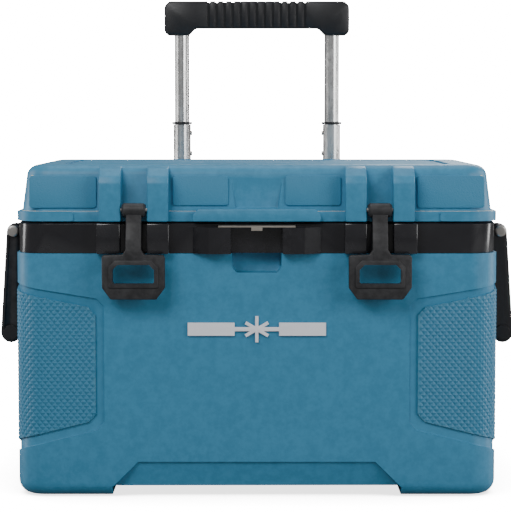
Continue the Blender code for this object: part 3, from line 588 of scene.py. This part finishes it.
def panel_outline(inset):
    """The corner panel's outline, from its upright front edge round to the side, drawn in by inset."""
    near, far, bend = 185.7 * MM + inset, PANEL_END - inset, 313 * MM
    rise = 0.163 + 0.003 * inset / MM
    top = 241.7 * MM - 1.02 * inset
    low = 84.0 * MM + 1.0 * inset
    first = near + 9 * MM
    return [
        (near, low + 8 * MM), (first, low - 2.3 * MM), (bend, low - 2.3 * MM - 0.25 * (bend - first)),
        (far, low - 2.3 * MM - 0.25 * (bend - first) - 0.1 * (far - bend)),
        (far, top + rise * (far - near)), (first, top + rise * 9 * MM), (near, top - 8 * MM),
    ]


def border_cutter(side):
    bm = slab(panel_outline(0), -4 * MM, textures().groove_depth, "Y")
    floor = [e for e in bm.edges if all(v.co.y > 0 for v in e.verts)]
    bevelled(bm, floor, 1.4 * MM, 3)
    slice_along(bm, CORNER_START, CORNER_START + CORNER_ARC, 14)
    return wrap_round(bm, side, BODY_HIGH.x, FRONT, CORNER)


def diamond_panel(side):
    """A field of four-sided points, trimmed to the panel, bent round the corner and given a back."""
    width, height = textures().diamond_width, textures().diamond_height
    cells = 60
    bm = bmesh.new()
    bmesh.ops.create_grid(bm, x_segments=cells, y_segments=cells, size=cells / 2)
    turn = Matrix.Rotation(math.radians(45), 4, "Z")
    flat = Matrix.Diagonal((width / math.sqrt(2), height / math.sqrt(2), 1, 1))
    upright = Matrix.Rotation(math.radians(90), 4, "X")
    middle = Matrix.Translation(((185.7 * MM + PANEL_END) / 2, 0, 160 * MM))
    bmesh.ops.transform(bm, matrix=middle @ upright @ flat @ turn, verts=bm.verts)
    outline = panel_outline(10.5 * MM)
    low = min(z for _, z in outline) - height
    high = max(z for _, z in outline) + height
    frame_outline = [(180 * MM, low), (PANEL_END, low), (PANEL_END, high), (180 * MM, high)]
    trim_to(bm, frame_outline)
    poked = bmesh.ops.poke(bm, faces=bm.faces[:])
    for vert in poked["verts"]:
        vert.co.y = -textures().diamond_rise
    trim_to(bm, outline)
    rim = set()
    for edge in bm.edges:
        if edge.is_boundary:
            rim.update(edge.verts)
    for vert in rim:
        vert.co.y = -0.35 * MM
    wrap_round(bm, side, BODY_HIGH.x, FRONT, CORNER)
    outward = sum((f.normal.dot(Vector((side, -1, 0))) for f in bm.faces), 0.0)
    if outward < 0:
        bmesh.ops.reverse_faces(bm, faces=bm.faces)
    bmesh.ops.solidify(bm, geom=bm.faces[:], thickness=2.6 * MM)
    return bm


# Body

def body_room():
    """The space inside the body's wall, clear of the foot recess, the pocket, the axle beam and the wells."""
    wall = 4 * MM
    low = (BODY_LOW.x + wall, FRONT + wall, 16 * MM)
    high = (BODY_HIGH.x - wall, BACK - wall, BODY_HIGH.z + 20 * MM)
    room = piece(block(low, high, CORNER - wall, 8), "room")
    beam_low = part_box("rear_chassis")[0]
    well_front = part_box("tyre_left")[0].y - 11 * MM
    blocks = [
        block((-181 * MM, FRONT, 0), (181 * MM, FRONT + 16 * MM, 47 * MM)),
        block((-34 * MM, FRONT, 270 * MM), (34 * MM, FRONT + 26 * MM, 0.4)),
        block((-240 * MM, beam_low.y - 4 * MM, 0), (240 * MM, BACK, 102 * MM)),
    ]
    for side, _ in SIDES:
        start, end = sorted((side * 228 * MM, side * BODY_HIGH.x))
        blocks.append(block((start, well_front, 0), (end, BACK, 151 * MM)))
    return cut(room, *blocks)


def wheel_wells():
    low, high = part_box("axle")
    y, z = (low.y + high.y) / 2, (low.z + high.z) / 2
    shapes = [spun([(0, -0.25), (5.6 * MM, -0.25), (5.6 * MM, 0.25), (0, 0.25)], (0, y, z), "X", 24)]
    for side, _ in SIDES:
        start, end = sorted((side * 232 * MM, side * 300 * MM))
        shapes.append(spun([(0, start), (77 * MM, start), (77 * MM, end), (0, end)], (0, y, z), "X", 72))
        shapes.append(block((start, y - 77 * MM, -9 * MM), (end, BACK + 9 * MM, z)))
        shapes.append(block((start, y, z - MM), (end, BACK + 9 * MM, z + 77 * MM)))
    return shapes


class COOLER_OT_body(bpy.types.Operator):
    """Make the blue body with its feet, pocket, wheel wells and diamond corner panels"""

    bl_idname = "cooler.body"
    bl_label = "Body"

    def execute(self, context):
        bm = block(BODY_LOW, BODY_HIGH, CORNER, 14)
        foot = [e for e in bm.edges if all(abs(v.co.z - BODY_LOW.z) < 1e-6 for v in e.verts)]
        bevelled(bm, foot, 17 * MM, 6)
        body = piece(bm, "body_moulding", finish("blue shell"))
        low, top = 177 * MM, 145 * MM
        outline = [(-low, -9 * MM), (low, -9 * MM), (low, 11 * MM), (top, 43 * MM), (-top, 43 * MM), (-low, 11 * MM)]
        recess = slab(outline, FRONT - 9 * MM, FRONT + 12 * MM, "Y")
        for vert in recess.verts:
            if vert.co.y > FRONT and vert.co.z > 40 * MM:
                vert.co.y = FRONT + 2.5 * MM
        between = block((-low, FRONT - MM, -9 * MM), (low, FRONT + 95 * MM, 12 * MM))
        behind = block((-0.4, FRONT + 90 * MM, -9 * MM), (0.4, BACK + 9 * MM, 12 * MM))
        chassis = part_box("rear_chassis")[0]
        beam = block((-226.4 * MM, chassis.y - 0.4 * MM, -9 * MM), (226.4 * MM, BACK + 9 * MM, 98.4 * MM))
        cut(body, recess, between, behind, beam)
        carve(body, body_room())
        pocket = slab(
            [(-24.7 * MM, 274.5 * MM), (24.7 * MM, 274.5 * MM), (30 * MM, 281 * MM), (30 * MM, 0.32), (-30 * MM, 0.32),
             (-30 * MM, 281 * MM)], FRONT - 9 * MM, FRONT + 22 * MM, "Y", 2 * MM, 3,
        )
        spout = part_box("drain_spout")
        drain = ((spout[0].y + spout[1].y) / 2, (spout[0].z + spout[1].z) / 2)
        hole = spun([(0, 0.27), (13.4 * MM, 0.27), (13.4 * MM, 0.31), (0, 0.31)], (0, *drain), "X", 32)
        cut(body, pocket, hole, *wheel_wells(), border_cutter(-1), border_cutter(1))
        soften(body, 1.6 * MM)
        settle(body, "root", ["body_shell"])
        for side, word in SIDES:
            panel = piece(diamond_panel(side), f"diamond_panel_{word}", finish("diamond blue"), clean=False, angle=8)
            settle(panel, "root")
        return {"FINISHED"}


class COOLER_OT_interior(bpy.types.Operator):
    """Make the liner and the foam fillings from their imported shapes"""

    bl_idname = "cooler.interior"
    bl_label = "Liner and foam"

    def execute(self, context):
        from_node("inner_liner", "liner_moulding", finish("liner white"), 2.0 * MM, "root")
        from_node("lid_liner", "lid_inner_moulding", finish("liner white"), 1.2 * MM, "lid")
        from_node("body_insulation", "body_foam", finish("foam"), 0, "root")
        from_node("lid_insulation", "lid_foam", finish("foam"), 0, "lid")
        from_node("lid_gasket", "lid_seal", finish("seal rubber"), 0.7 * MM, "lid")
        return {"FINISHED"}


class COOLER_OT_collar(bpy.types.Operator):
    """Make the glossy collar with its keepers, the opener plate and the handle lugs"""

    bl_idname = "cooler.collar"
    bl_label = "Collar"

    def execute(self, context):
        from_node("collar", "collar_moulding", finish("collar gloss"), 1.1 * MM, "root")
        from_node("opener_plate", "opener_strip", finish("plate steel"), 0.4 * MM, "root")
        return {"FINISHED"}


# Lid

LID_SLOPE = 4.5 / 43


def lid_plate(outline, start, thickness, bevel):
    """A thin raised plate laid against the sloping front of the lid."""
    bm = slab(outline, start, start + thickness, "Y", bevel, 3)
    for vert in bm.verts:
        vert.co.y += (vert.co.z - 349 * MM) * LID_SLOPE
    return bm


def rounded_outline(x_low, x_high, z_low, z_high, radius, steps=5):
    points = []
    corners = ((x_high, z_high, 0), (x_low, z_high, 90), (x_low, z_low, 180), (x_high, z_low, 270))
    for x, z, start in corners:
        centre_x = x - math.copysign(radius, x - (x_low + x_high) / 2)
        centre_z = z - math.copysign(radius, z - (z_low + z_high) / 2)
        for step in range(steps + 1):
            angle = math.radians(start + 90 * step / steps)
            points.append((centre_x + radius * math.cos(angle), centre_z + radius * math.sin(angle)))
    return points


def lid_outside():
    low, high = LID_LOW, LID_HIGH
    front, back = FRONT + 0.5 * MM, HINGE_Y - 9.5 * MM
    flange = block((low.x, front, low.z), (high.x, back, 349 * MM), CORNER, 14)
    rim = [e for e in flange.edges if all(v.co.z > 348 * MM for v in e.verts)]
    bevelled(flange, rim, 1.2 * MM, 2)
    lid = piece(flange, "lid_moulding", finish("blue shell"))
    inset = 3.5 * MM
    upper = block((low.x + inset, front + inset, 340 * MM), (high.x - inset, back - inset, high.z), CORNER - inset, 14)
    for vert in upper.verts:
        if vert.co.z > high.z - MM:
            vert.co.x -= math.copysign(6 * MM, vert.co.x)
            vert.co.y += -6 * MM if vert.co.y > 0 else 6 * MM
    crown = [e for e in upper.edges if all(v.co.z > high.z - MM for v in e.verts)]
    bevelled(upper, crown, 15 * MM, 7)
    return add(lid, upper)


HINGE_Y = (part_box("hinge_rod_left")[0].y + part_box("hinge_rod_left")[1].y) / 2
HINGE_Z = (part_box("hinge_rod_left")[0].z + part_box("hinge_rod_left")[1].z) / 2
HINGE_X = (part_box("hinge_rod_right")[0].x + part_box("hinge_rod_right")[1].x) / 2
LATCH_X = (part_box("latch_pin_right")[0].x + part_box("latch_pin_right")[1].x) / 2
LATCH_Y = (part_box("latch_pin_right")[0].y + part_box("latch_pin_right")[1].y) / 2
LATCH_Z = (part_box("latch_pin_right")[0].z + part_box("latch_pin_right")[1].z) / 2
RIB_FACE = FRONT - 13 * MM


def lid_ribs():
    shapes = []
    rib = [(FRONT + 6 * MM, 337), (RIB_FACE, 337), (RIB_FACE, 384), (RIB_FACE + 4 * MM, 392), (FRONT + 2 * MM, 401)]
    rib += [(FRONT + 16 * MM, 404), (FRONT + 20 * MM, 392)]
    rib = [(y, z * MM) for y, z in rib]
    for side, _ in SIDES:
        for near, far in ((106.8, 132.4), (164.1, 190.3)):
            start, end = sorted((side * near * MM, side * far * MM))
            shapes.append(slab(rib, start, end, "X", 1.8 * MM, 3))
        x = side * HINGE_X
        barrel = [(0, -14 * MM), (8 * MM, -14 * MM), (8 * MM, 14 * MM), (0, 14 * MM)]
        shapes.append(spun(barrel, (x, HINGE_Y, HINGE_Z), "X", 40))
        arm = [(HINGE_Y - 16 * MM, 341), (HINGE_Y, 339), (HINGE_Y, 355), (HINGE_Y - 16 * MM, 355)]
        arm = [(y, z * MM) for y, z in arm]
        shapes.append(slab(arm, x - 14 * MM, x + 14 * MM, "X"))
    return shapes


class COOLER_OT_lid(bpy.types.Operator):
    """Make the lid with its latch ribs, textured panels, centre pocket and finger strip"""

    bl_idname = "cooler.lid"
    bl_label = "Lid"

    def execute(self, context):
        lid = lid_outside()
        room = piece(self.room(), "lid_room")
        cut(room, block((-36 * MM, FRONT, 344 * MM), (36 * MM, FRONT + 14 * MM, 0.41)))
        carve(lid, room)
        outline = [(-26.5, 353), (26.5, 353), (31, 388), (31, 399.5), (-31, 399.5), (-31, 388)]
        pocket = slab([(x * MM, z * MM) for x, z in outline], FRONT - 9 * MM, FRONT + 10 * MM, "Y", 2 * MM, 3)
        well = block(
            (LID_LOW.x + 52 * MM, FRONT + 50 * MM, LID_HIGH.z - 2.2 * MM),
            (LID_HIGH.x - 52 * MM, HINGE_Y - 46 * MM, 0.43), 22 * MM, 8,
        )
        cut(lid, pocket, well)
        strip = [(-77.5, 337), (77.5, 337), (77.5, 345), (71, 352), (-71, 352), (-77.5, 345)]
        strip = slab([(x * MM, z * MM) for x, z in strip], FRONT - 9 * MM, FRONT + 6 * MM, "Y", 1.5 * MM, 3)
        corners = []
        for side, _ in SIDES:
            bump = slab(rounded_outline(222 * MM, 372 * MM, 337.2 * MM, 348.6 * MM, 3 * MM), -1.6 * MM, 3 * MM, "Y")
            half = LID_HIGH.x
            slice_along(bump, half - CORNER, half - CORNER + CORNER_ARC, 12)
            corners.append(wrap_round(bump, side, half, FRONT + 0.5 * MM, CORNER))
        add(lid, strip, *lid_ribs(), *corners)
        for side, _ in SIDES:
            hinge = [(0, -30 * MM), (3.3 * MM, -30 * MM), (3.3 * MM, 30 * MM), (0, 30 * MM)]
            pin = [(0, -34 * MM), (2.7 * MM, -34 * MM), (2.7 * MM, 34 * MM), (0, 34 * MM)]
            cut(
                lid, spun(hinge, (side * HINGE_X, HINGE_Y, HINGE_Z), "X", 24),
                spun(pin, (side * LATCH_X, LATCH_Y, LATCH_Z), "X", 24),
            )
        soften(lid, 0.9 * MM)
        settle(lid, "lid", ["lid_shell"])
        self.plates()
        return {"FINISHED"}

    def room(self):
        """The lid's hollow: it leans in with the outside and is rounded under the crown."""
        low = (LID_LOW.x + 5 * MM, FRONT + 5.5 * MM, 330 * MM)
        high = (LID_HIGH.x - 5 * MM, HINGE_Y - 14.5 * MM, 401.4 * MM)
        bm = block(low, high, CORNER - 5 * MM, 10)
        for vert in bm.verts:
            if vert.co.z > 400 * MM:
                vert.co.x -= math.copysign(7.6 * MM, vert.co.x)
                vert.co.y += -7.6 * MM if vert.co.y > 0 else 7.6 * MM
        crown = [e for e in bm.edges if all(v.co.z > 400 * MM for v in e.verts)]
        bevelled(bm, crown, 11 * MM, 5)
        return bm

    def plates(self):
        face = FRONT + 3.2 * MM
        for side, word in SIDES:
            for near, far, low, name in ((194.5, 276, 353, "corner"), (34.5, 102, 356, "inner")):
                start, end = sorted((side * near * MM, side * far * MM))
                outline = rounded_outline(start, end, low * MM, 392 * MM, 4 * MM)
                plate = piece(lid_plate(outline, face, 3 * MM, 0.7 * MM), f"lid_{name}_panel_{word}", finish("pebbled blue"))
                settle(plate, "lid")
        top = LID_HIGH.z - 2.6 * MM
        mat_bm = block(
            (LID_LOW.x + 60 * MM, FRONT + 58 * MM, top), (LID_HIGH.x - 60 * MM, HINGE_Y - 54 * MM, top + 1.8 * MM),
            16 * MM, 8, 0.6 * MM, 2,
        )
        settle(piece(mat_bm, "lid_top_panel", finish("pebbled blue")), "lid")


# Latches

class COOLER_OT_latches(bpy.types.Operator):
    """Make the two rubber latches with their pull rings, and the pins they turn on"""

    bl_idname = "cooler.latches"
    bl_label = "Latches"

    def execute(self, context):
        for side, word in SIDES:
            self.latch(side * LATCH_X, word)
            from_node(f"latch_pin_{word}", f"latch_steel_pin_{word}", finish("cross steel"), 0, "lid")
        return {"FINISHED"}

    def latch(self, x, word):
        bulb = [(0, -14.3), (6.5, -14.3), (8.5, -12), (8.5, 12), (6.5, 14.3), (0, 14.3)]
        bulb = [(radius * MM, along * MM) for radius, along in bulb]
        obj = piece(spun(bulb, (x, LATCH_Y, LATCH_Z), "X", 48), f"rubber_latch_{word}", finish("latch rubber"))
        side_view = [(-5, 351), (-15.2, 351), (-16.5, 336), (-22, 316), (-24, 302), (-24, 290), (-15, 290), (-15, 302)]
        side_view += [(-13.6, 316), (-9.4, 335)]
        side_view = [(FRONT + y * MM, z * MM) for y, z in side_view]
        strap = slab(side_view, x - 9.35 * MM, x + 9.35 * MM, "X", 1.5 * MM, 3)
        ring = [(9.5, 304), (13, 298), (36, 297.5), (37.9, 295), (37.9, 258), (27.5, 244)]
        ring = [(x + dx * MM, z * MM) for dx, z in ring] + [(x - dx * MM, z * MM) for dx, z in ring[::-1]]
        pull = slab(ring, FRONT - 23.6 * MM, FRONT - 14 * MM, "Y", 1.6 * MM, 3)
        raised = [(x + dx * MM, z * MM) for dx, z in self.octagon(5.5)]
        frame_ring = slab(raised, FRONT - 25 * MM, FRONT - 18 * MM, "Y", 1.3 * MM, 3)
        add(obj, strap, pull, frame_ring)
        hole = [(x + dx * MM, z * MM) for dx, z in self.octagon(0)]
        hole = slab(hole, FRONT - 40 * MM, FRONT, "Y")
        pin = [(0, -20 * MM), (2.7 * MM, -20 * MM), (2.7 * MM, 20 * MM), (0, 20 * MM)]
        cut(obj, hole, spun(pin, (x, LATCH_Y, LATCH_Z), "X", 24))
        soften(obj, 1.1 * MM, merge=False)
        settle(obj, f"latch_{word}", [f"latch_{word}"])

    def octagon(self, grow):
        low, high, half, cut_off = 263 - grow, 286 + grow, 25 + grow, 6 + grow * 0.4
        points = [(-half + 2, low), (half - 2, low), (half, low + 2), (half, high - cut_off), (half - cut_off, high)]
        return points + [(-half + cut_off, high), (-half, high - cut_off), (-half, low + 2)]


# Emblem, side handles and telescoping handle

class COOLER_OT_emblem(bpy.types.Operator):
    """Make the raised emblem on the front of the body"""

    bl_idname = "cooler.emblem"
    bl_label = "Emblem"

    def execute(self, context):
        from_node("front_emblem", "raised_emblem", finish("emblem white"), 0.35 * MM, "root")
        return {"FINISHED"}


class COOLER_OT_side_handles(bpy.types.Operator):
    """Make the two hanging side handles with the rods through their grips"""

    bl_idname = "cooler.side_handles"
    bl_label = "Side handles"

    def execute(self, context):
        for side, word in SIDES:
            body = f"side_handle_{word}"
            low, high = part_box(f"side_handle_{word}")
            rings = []
            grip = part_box(f"side_grip_rod_{word}")
            centre = ((grip[0].x + grip[1].x) / 2, 0, (grip[0].z + grip[1].z) / 2)
            middle = (low.y + high.y) / 2
            for step in range(-6, 7):
                y = middle + step * 11 * MM
                ring = [(11.3, -1.6), (14, -1.6), (14, 1.6), (11.3, 1.6), (11.0, 0)]
                ring = [(radius * MM, y + along * MM) for radius, along in ring]
                rings.append(spun([(r, -a) for r, a in ring], centre, "Y", 40))
            from_node(body, f"bail_handle_{word}", finish("black moulding"), 1.3 * MM, body, rings)
            rod = f"side_grip_rod_{word}"
            from_node(rod, f"bail_rod_{word}", finish("black moulding"), 0.8 * MM, body)
        for node in [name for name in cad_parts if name.startswith("handle_pin_")]:
            from_node(node, node.replace("handle_pin", "bail_pin"), finish("cross steel"), 0.6 * MM, "root")
        return {"FINISHED"}


class COOLER_OT_tubes(bpy.types.Operator):
    """Make the telescoping tubes with their bushes, snap pieces and inner rods"""

    bl_idname = "cooler.tubes"
    bl_label = "Telescoping tubes"

    def execute(self, context):
        bodies = {"lower_tube": "lower_stage", "lower_bush": "lower_stage", "detent_leaf": "lower_stage"}
        bodies |= {"upper_tube": "upper_stage", "tube_plug": "upper_stage"}
        for _, word in SIDES:
            for kind, body in bodies.items():
                node = f"{kind}_{word}"
                if kind.endswith("tube"):
                    from_node(node, f"bright_{node}", finish("tube metal"), 0.5 * MM, body, segments=2)
                elif kind == "detent_leaf":
                    from_node(node, f"steel_{node}", finish("cross steel"), 0.2 * MM, body, segments=2)
                else:
                    from_node(node, f"black_{node}", finish("black moulding"), 0.5 * MM, body, segments=2)
            from_node(f"pull_rod_{word}", f"steel_pull_rod_{word}", finish("tube metal"), 0.3 * MM, "release")
            pin = f"lock_pin_{word}"
            from_node(pin, f"steel_{pin}", finish("cross steel"), 0.3 * MM, pin)
            bush = f"housing_bush_{word}"
            from_node(bush, f"black_{bush}", finish("black moulding"), 0.7 * MM, "root")
        return {"FINISHED"}


class COOLER_OT_grip(bpy.types.Operator):
    """Make the pull handle's grip with its finger ribs and the release button"""

    bl_idname = "cooler.grip"
    bl_label = "Pull grip"

    def execute(self, context):
        low, high = GRIP_LOW, GRIP_HIGH
        pitch = 11.4 * MM
        count = textures().grip_ribs
        grooves = []
        for step in range(count + 1):
            x = (step - count / 2) * pitch
            groove = block(
                (x - 1.9 * MM, low.y - 3 * MM, low.z + 6 * MM), (x + 1.9 * MM, high.y + 3 * MM, high.z + 3 * MM)
            )
            core = block(
                (x - 9 * MM, low.y + 2.2 * MM, low.z - 9 * MM), (x + 9 * MM, high.y - 2.2 * MM, high.z - 2.0 * MM)
            )
            ring = piece(groove, "groove")
            cut(ring, core)
            bm = bmesh.new()
            bm.from_mesh(ring.data)
            bpy.data.objects.remove(ring)
            grooves.append(bm)
        from_node("handle_grip", "pull_grip", finish("black moulding"), 1.6 * MM, "upper_stage", grooves)
        from_node("release_button", "push_button", finish("black moulding"), 0.8 * MM, "release")
        spring = from_node("button_spring", "coil_spring", finish("cross steel"), 0, "upper_stage")
        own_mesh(spring)
        return {"FINISHED"}


# Chassis, wheels and drain

class COOLER_OT_chassis(bpy.types.Operator):
    """Make the rear housing that carries the tubes and the axle, with its screws"""

    bl_idname = "cooler.chassis"
    bl_label = "Rear housing"

    def execute(self, context):
        from_node("rear_chassis", "rear_housing", finish("black moulding"), 1.6 * MM, "root")
        for index in range(1, 5):
            node = f"chassis_screw_{index}"
            low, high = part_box(node)
            x, z = (low.x + high.x) / 2, (low.z + high.z) / 2
            outline = [
                (x + 2.9 * MM * math.cos(math.tau * i / 6), z + 2.9 * MM * math.sin(math.tau * i / 6)) for i in range(6)
            ]
            socket_cut = slab(outline, high.y - 2.0 * MM, high.y + 5 * MM, "Y")
            from_node(node, f"socket_screw_{index}", finish("depth steel"), 0.4 * MM, "root", [socket_cut])
        for _, word in SIDES:
            rod = f"hinge_rod_{word}"
            from_node(rod, f"steel_{rod}", finish("cross steel"), 0.4 * MM, "root")
        from_node("axle", "steel_axle", finish("cross steel"), 0.5 * MM, "root")
        from_node("axle_cap", "push_on_cap", finish("cross steel"), 0.5 * MM, "root")
        return {"FINISHED"}


class COOLER_OT_wheels(bpy.types.Operator):
    """Make the wheels: grooved tyres on spoked hubs, turning on their bushes"""

    bl_idname = "cooler.wheels"
    bl_label = "Wheels"

    def execute(self, context):
        for side, word in SIDES:
            body = f"wheel_{word}"
            low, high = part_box(f"tyre_{word}")
            centre = ((low.x + high.x) / 2, (low.y + high.y) / 2, (low.z + high.z) / 2)
            self.tyre(centre, word, body)
            self.hub(centre, word, body)
            bush = f"wheel_bush_{word}"
            from_node(bush, f"nylon_{bush}", finish("nylon"), 0.3 * MM, body, segments=2)
        return {"FINISHED"}

    def tyre(self, centre, word, body):
        profile = [(58.4, -20), (62, -21), (64.5, -20.6), (67.3, -18.5), (69.3, -15.5), (70, -12), (70, -4), (68.6, -3)]
        profile += [(68.6, 3), (70, 4), (70, 12), (69.3, 15.5), (67.3, 18.5), (64.5, 20.6), (62, 21), (58.4, 20)]
        profile = [(radius * MM, along * MM) for radius, along in profile]
        obj = piece(spun(profile, centre, "X", 120), f"grooved_tyre_{word}", finish("tyre rubber"), angle=40)
        grooves = bmesh.new()
        blocks = textures().tread_blocks
        for step in range(blocks):
            for across in (-1, 1):
                turn = Matrix.Rotation(math.tau * (step + 0.25 * across) / blocks, 4, "X")
                size = Matrix.Diagonal((9 * MM, 2.6 * MM, 4 * MM, 1))
                place = Matrix.Translation(centre) @ turn @ Matrix.Translation((across * 13.5 * MM, 0, 70 * MM)) @ size
                bmesh.ops.create_cube(grooves, size=1, matrix=place)
        cut(obj, grooves)
        soften(obj, 0.35 * MM, 2)
        settle(obj, body, [f"tyre_{word}"])

    def hub(self, centre, word, body):
        profile = [(7.9, -21), (15, -21), (16, -20), (17, -7), (46, -7), (49.5, -18), (51, -19), (58, -19)]
        profile += [(58, 19), (51, 19), (49.5, 18), (46, 7), (17, 7), (16, 20), (15, 21), (7.9, 21)]
        profile = [(radius * MM, along * MM) for radius, along in profile]
        obj = piece(spun(profile, centre, "X", 96), f"spoked_hub_{word}", finish("hub moulding"), angle=30)
        windows = bmesh.new()
        for step in range(6):
            start, end = math.tau * (step + 0.18) / 6, math.tau * (step + 0.82) / 6
            outline = []
            for radius, first, last in ((44, start, end), (22, end - 0.12, start + 0.12)):
                for i in range(9):
                    angle = first + (last - first) * i / 8
                    outline.append((centre[1] + radius * MM * math.cos(angle), centre[2] + radius * MM * math.sin(angle)))
            window = slab(outline, centre[0] - 30 * MM, centre[0] + 30 * MM, "X")
            mesh = bpy.data.meshes.new("window")
            window.to_mesh(mesh)
            window.free()
            windows.from_mesh(mesh)
            bpy.data.meshes.remove(mesh)
        cut(obj, windows)
        soften(obj, 0.9 * MM, 2)
        settle(obj, body, [f"wheel_hub_{word}"])


class COOLER_OT_drain(bpy.types.Operator):
    """Make the drain spout, its stem and seal, and the knurled cap"""

    bl_idname = "cooler.drain"
    bl_label = "Drain"

    def execute(self, context):
        from_node("drain_spout", "drain_outlet", finish("black moulding"), 0.4 * MM, "root", segments=2)
        from_node("drain_stem", "drain_plug_stem", finish("black moulding"), 0.3 * MM, "drain_stem", segments=2)
        from_node("drain_seal", "drain_ring_seal", finish("seal rubber"), 0.3 * MM, "drain_stem", segments=2)
        from_node("drain_cap", "drain_turn_cap", finish("black moulding"), 0.5 * MM, "drain_cap", segments=2)
        return {"FINISHED"}


# Studio

EYE_HEIGHT = 0.4636
EYE_DISTANCE = 2.331
LENS = 135.6
TILT = 4.137
SHIFT = -0.0026
SKY_LIGHT = 0.22
SKY_SEEN = 24.0
FLOOR_GLOW = 22.0


def area_light(name, place, target, size, power, colour=(1, 1, 1)):
    data = bpy.data.lights.new(name, "AREA")
    data.shape = "RECTANGLE"
    data.size, data.size_y = size
    data.energy = power
    data.color = colour
    light = bpy.data.objects.new(name, data)
    light.location = place
    light.rotation_euler = (Vector(target) - Vector(place)).to_track_quat("-Z", "Y").to_euler()
    bpy.context.scene.collection.objects.link(light)
    return light


class COOLER_OT_stage(bpy.types.Operator):
    """Set the white floor with its painted contact shadow, the surroundings, the soft lights and the camera"""

    bl_idname = "cooler.stage"
    bl_label = "Studio"

    def execute(self, context):
        scene = context.scene
        self.floor()
        world = bpy.data.worlds.new("white surroundings")
        world.use_nodes = True
        tree = world.node_tree
        background = tree.nodes["Background"]
        background.inputs["Color"].default_value = (1, 1, 1, 1)
        seen = tree.nodes.new("ShaderNodeLightPath").outputs["Is Camera Ray"]
        wire(tree, span(tree, seen, 0.0, 1.0, SKY_LIGHT, SKY_SEEN), background.inputs["Strength"])
        scene.world = world
        middle = (0, 0, 0.25)
        area_light("key softbox", (-1.1, -1.9, 1.9), middle, (1.4, 1.0), 36)
        area_light("fill softbox", (1.9, -1.5, 1.0), middle, (1.2, 1.2), 24)
        area_light("top softbox", (0, 0.3, 2.3), middle, (1.8, 1.4), 14)
        area_light("rear softbox", (0.9, 2.3, 1.5), middle, (1.4, 1.2), 26)
        area_light("left strip", (-1.9, 0.2, 0.7), middle, (0.4, 1.4), 15)
        area_light("right strip", (1.9, 0.3, 0.7), middle, (0.4, 1.4), 17)
        data = bpy.data.cameras.new("front view")
        data.sensor_width = 36
        data.lens = LENS
        data.shift_x = SHIFT
        data.dof.use_dof = False
        camera = bpy.data.objects.new("front view", data)
        camera.location = (0, FRONT - EYE_DISTANCE, EYE_HEIGHT)
        camera.rotation_euler = (math.radians(90 - TILT), 0, 0)
        scene.collection.objects.link(camera)
        scene.camera = camera
        return {"FINISHED"}

    def floor(self):
        bm = bmesh.new()
        bmesh.ops.create_grid(bm, x_segments=1, y_segments=1, size=6, matrix=Matrix.Translation((0, 0, -0.0005)))
        material, tree, shader, place = start_material("white floor", 0.6, 0.0)
        shade = span(tree, noise(tree, place, 3.0, 2.0), 0.3, 0.7)
        colour = blend_colours(tree, shade, (0.24, 0.24, 0.24, 1), (0.26, 0.26, 0.26, 1))
        wire(tree, colour, shader.inputs["Base Color"])
        shader.inputs["Emission Color"].default_value = (1, 1, 1, 1)
        # Painted contact shadow: ambient occlusion dims the floor's camera-only glow near the cooler, so the floor is
        # painted darker under and around it.
        painted_shadow_ao = tree.nodes.new("ShaderNodeAmbientOcclusion")
        painted_shadow_ao.inputs["Distance"].default_value = 0.16
        seen = tree.nodes.new("ShaderNodeLightPath").outputs["Is Camera Ray"]
        painted_shadow_factor = span(tree, painted_shadow_ao.outputs["AO"], 0.25, 0.95, 0.12, 1.0)
        glow = math_node(tree, "MULTIPLY", math_node(tree, "MULTIPLY", seen, painted_shadow_factor), FLOOR_GLOW)
        wire(tree, glow, shader.inputs["Emission Strength"])
        piece(bm, "studio_floor", material)


class COOLER_PT_panel(bpy.types.Panel):
    bl_label = "Wheeled cooler"
    bl_idname = "COOLER_PT_panel"
    bl_space_type = "VIEW_3D"
    bl_region_type = "UI"
    bl_category = "Cooler"

    def draw(self, context):
        layout = self.layout
        for settings in (context.scene.cooler_colours, context.scene.cooler_textures):
            box = layout.box()
            for label in settings.__annotations__:
                box.prop(settings, label)
        for operator in OPERATORS:
            layout.operator(operator.bl_idname)


OPERATORS = (
    COOLER_OT_body, COOLER_OT_interior, COOLER_OT_collar, COOLER_OT_lid, COOLER_OT_latches, COOLER_OT_emblem,
    COOLER_OT_side_handles, COOLER_OT_tubes, COOLER_OT_grip, COOLER_OT_chassis, COOLER_OT_wheels, COOLER_OT_drain,
    COOLER_OT_stage,
)
CLASSES = (CoolerColours, CoolerTextures, *OPERATORS, COOLER_PT_panel)


def register():
    for cls in CLASSES:
        bpy.utils.register_class(cls)
    bpy.types.Scene.cooler_colours = PointerProperty(type=CoolerColours)
    bpy.types.Scene.cooler_textures = PointerProperty(type=CoolerTextures)


def unregister():
    del bpy.types.Scene.cooler_textures
    del bpy.types.Scene.cooler_colours
    for cls in reversed(CLASSES):
        bpy.utils.unregister_class(cls)


def main():
    register()
    for operator in OPERATORS:
        group, name = operator.bl_idname.split(".")
        getattr(getattr(bpy.ops, group), name)()


if __name__ == "__main__":
    main()
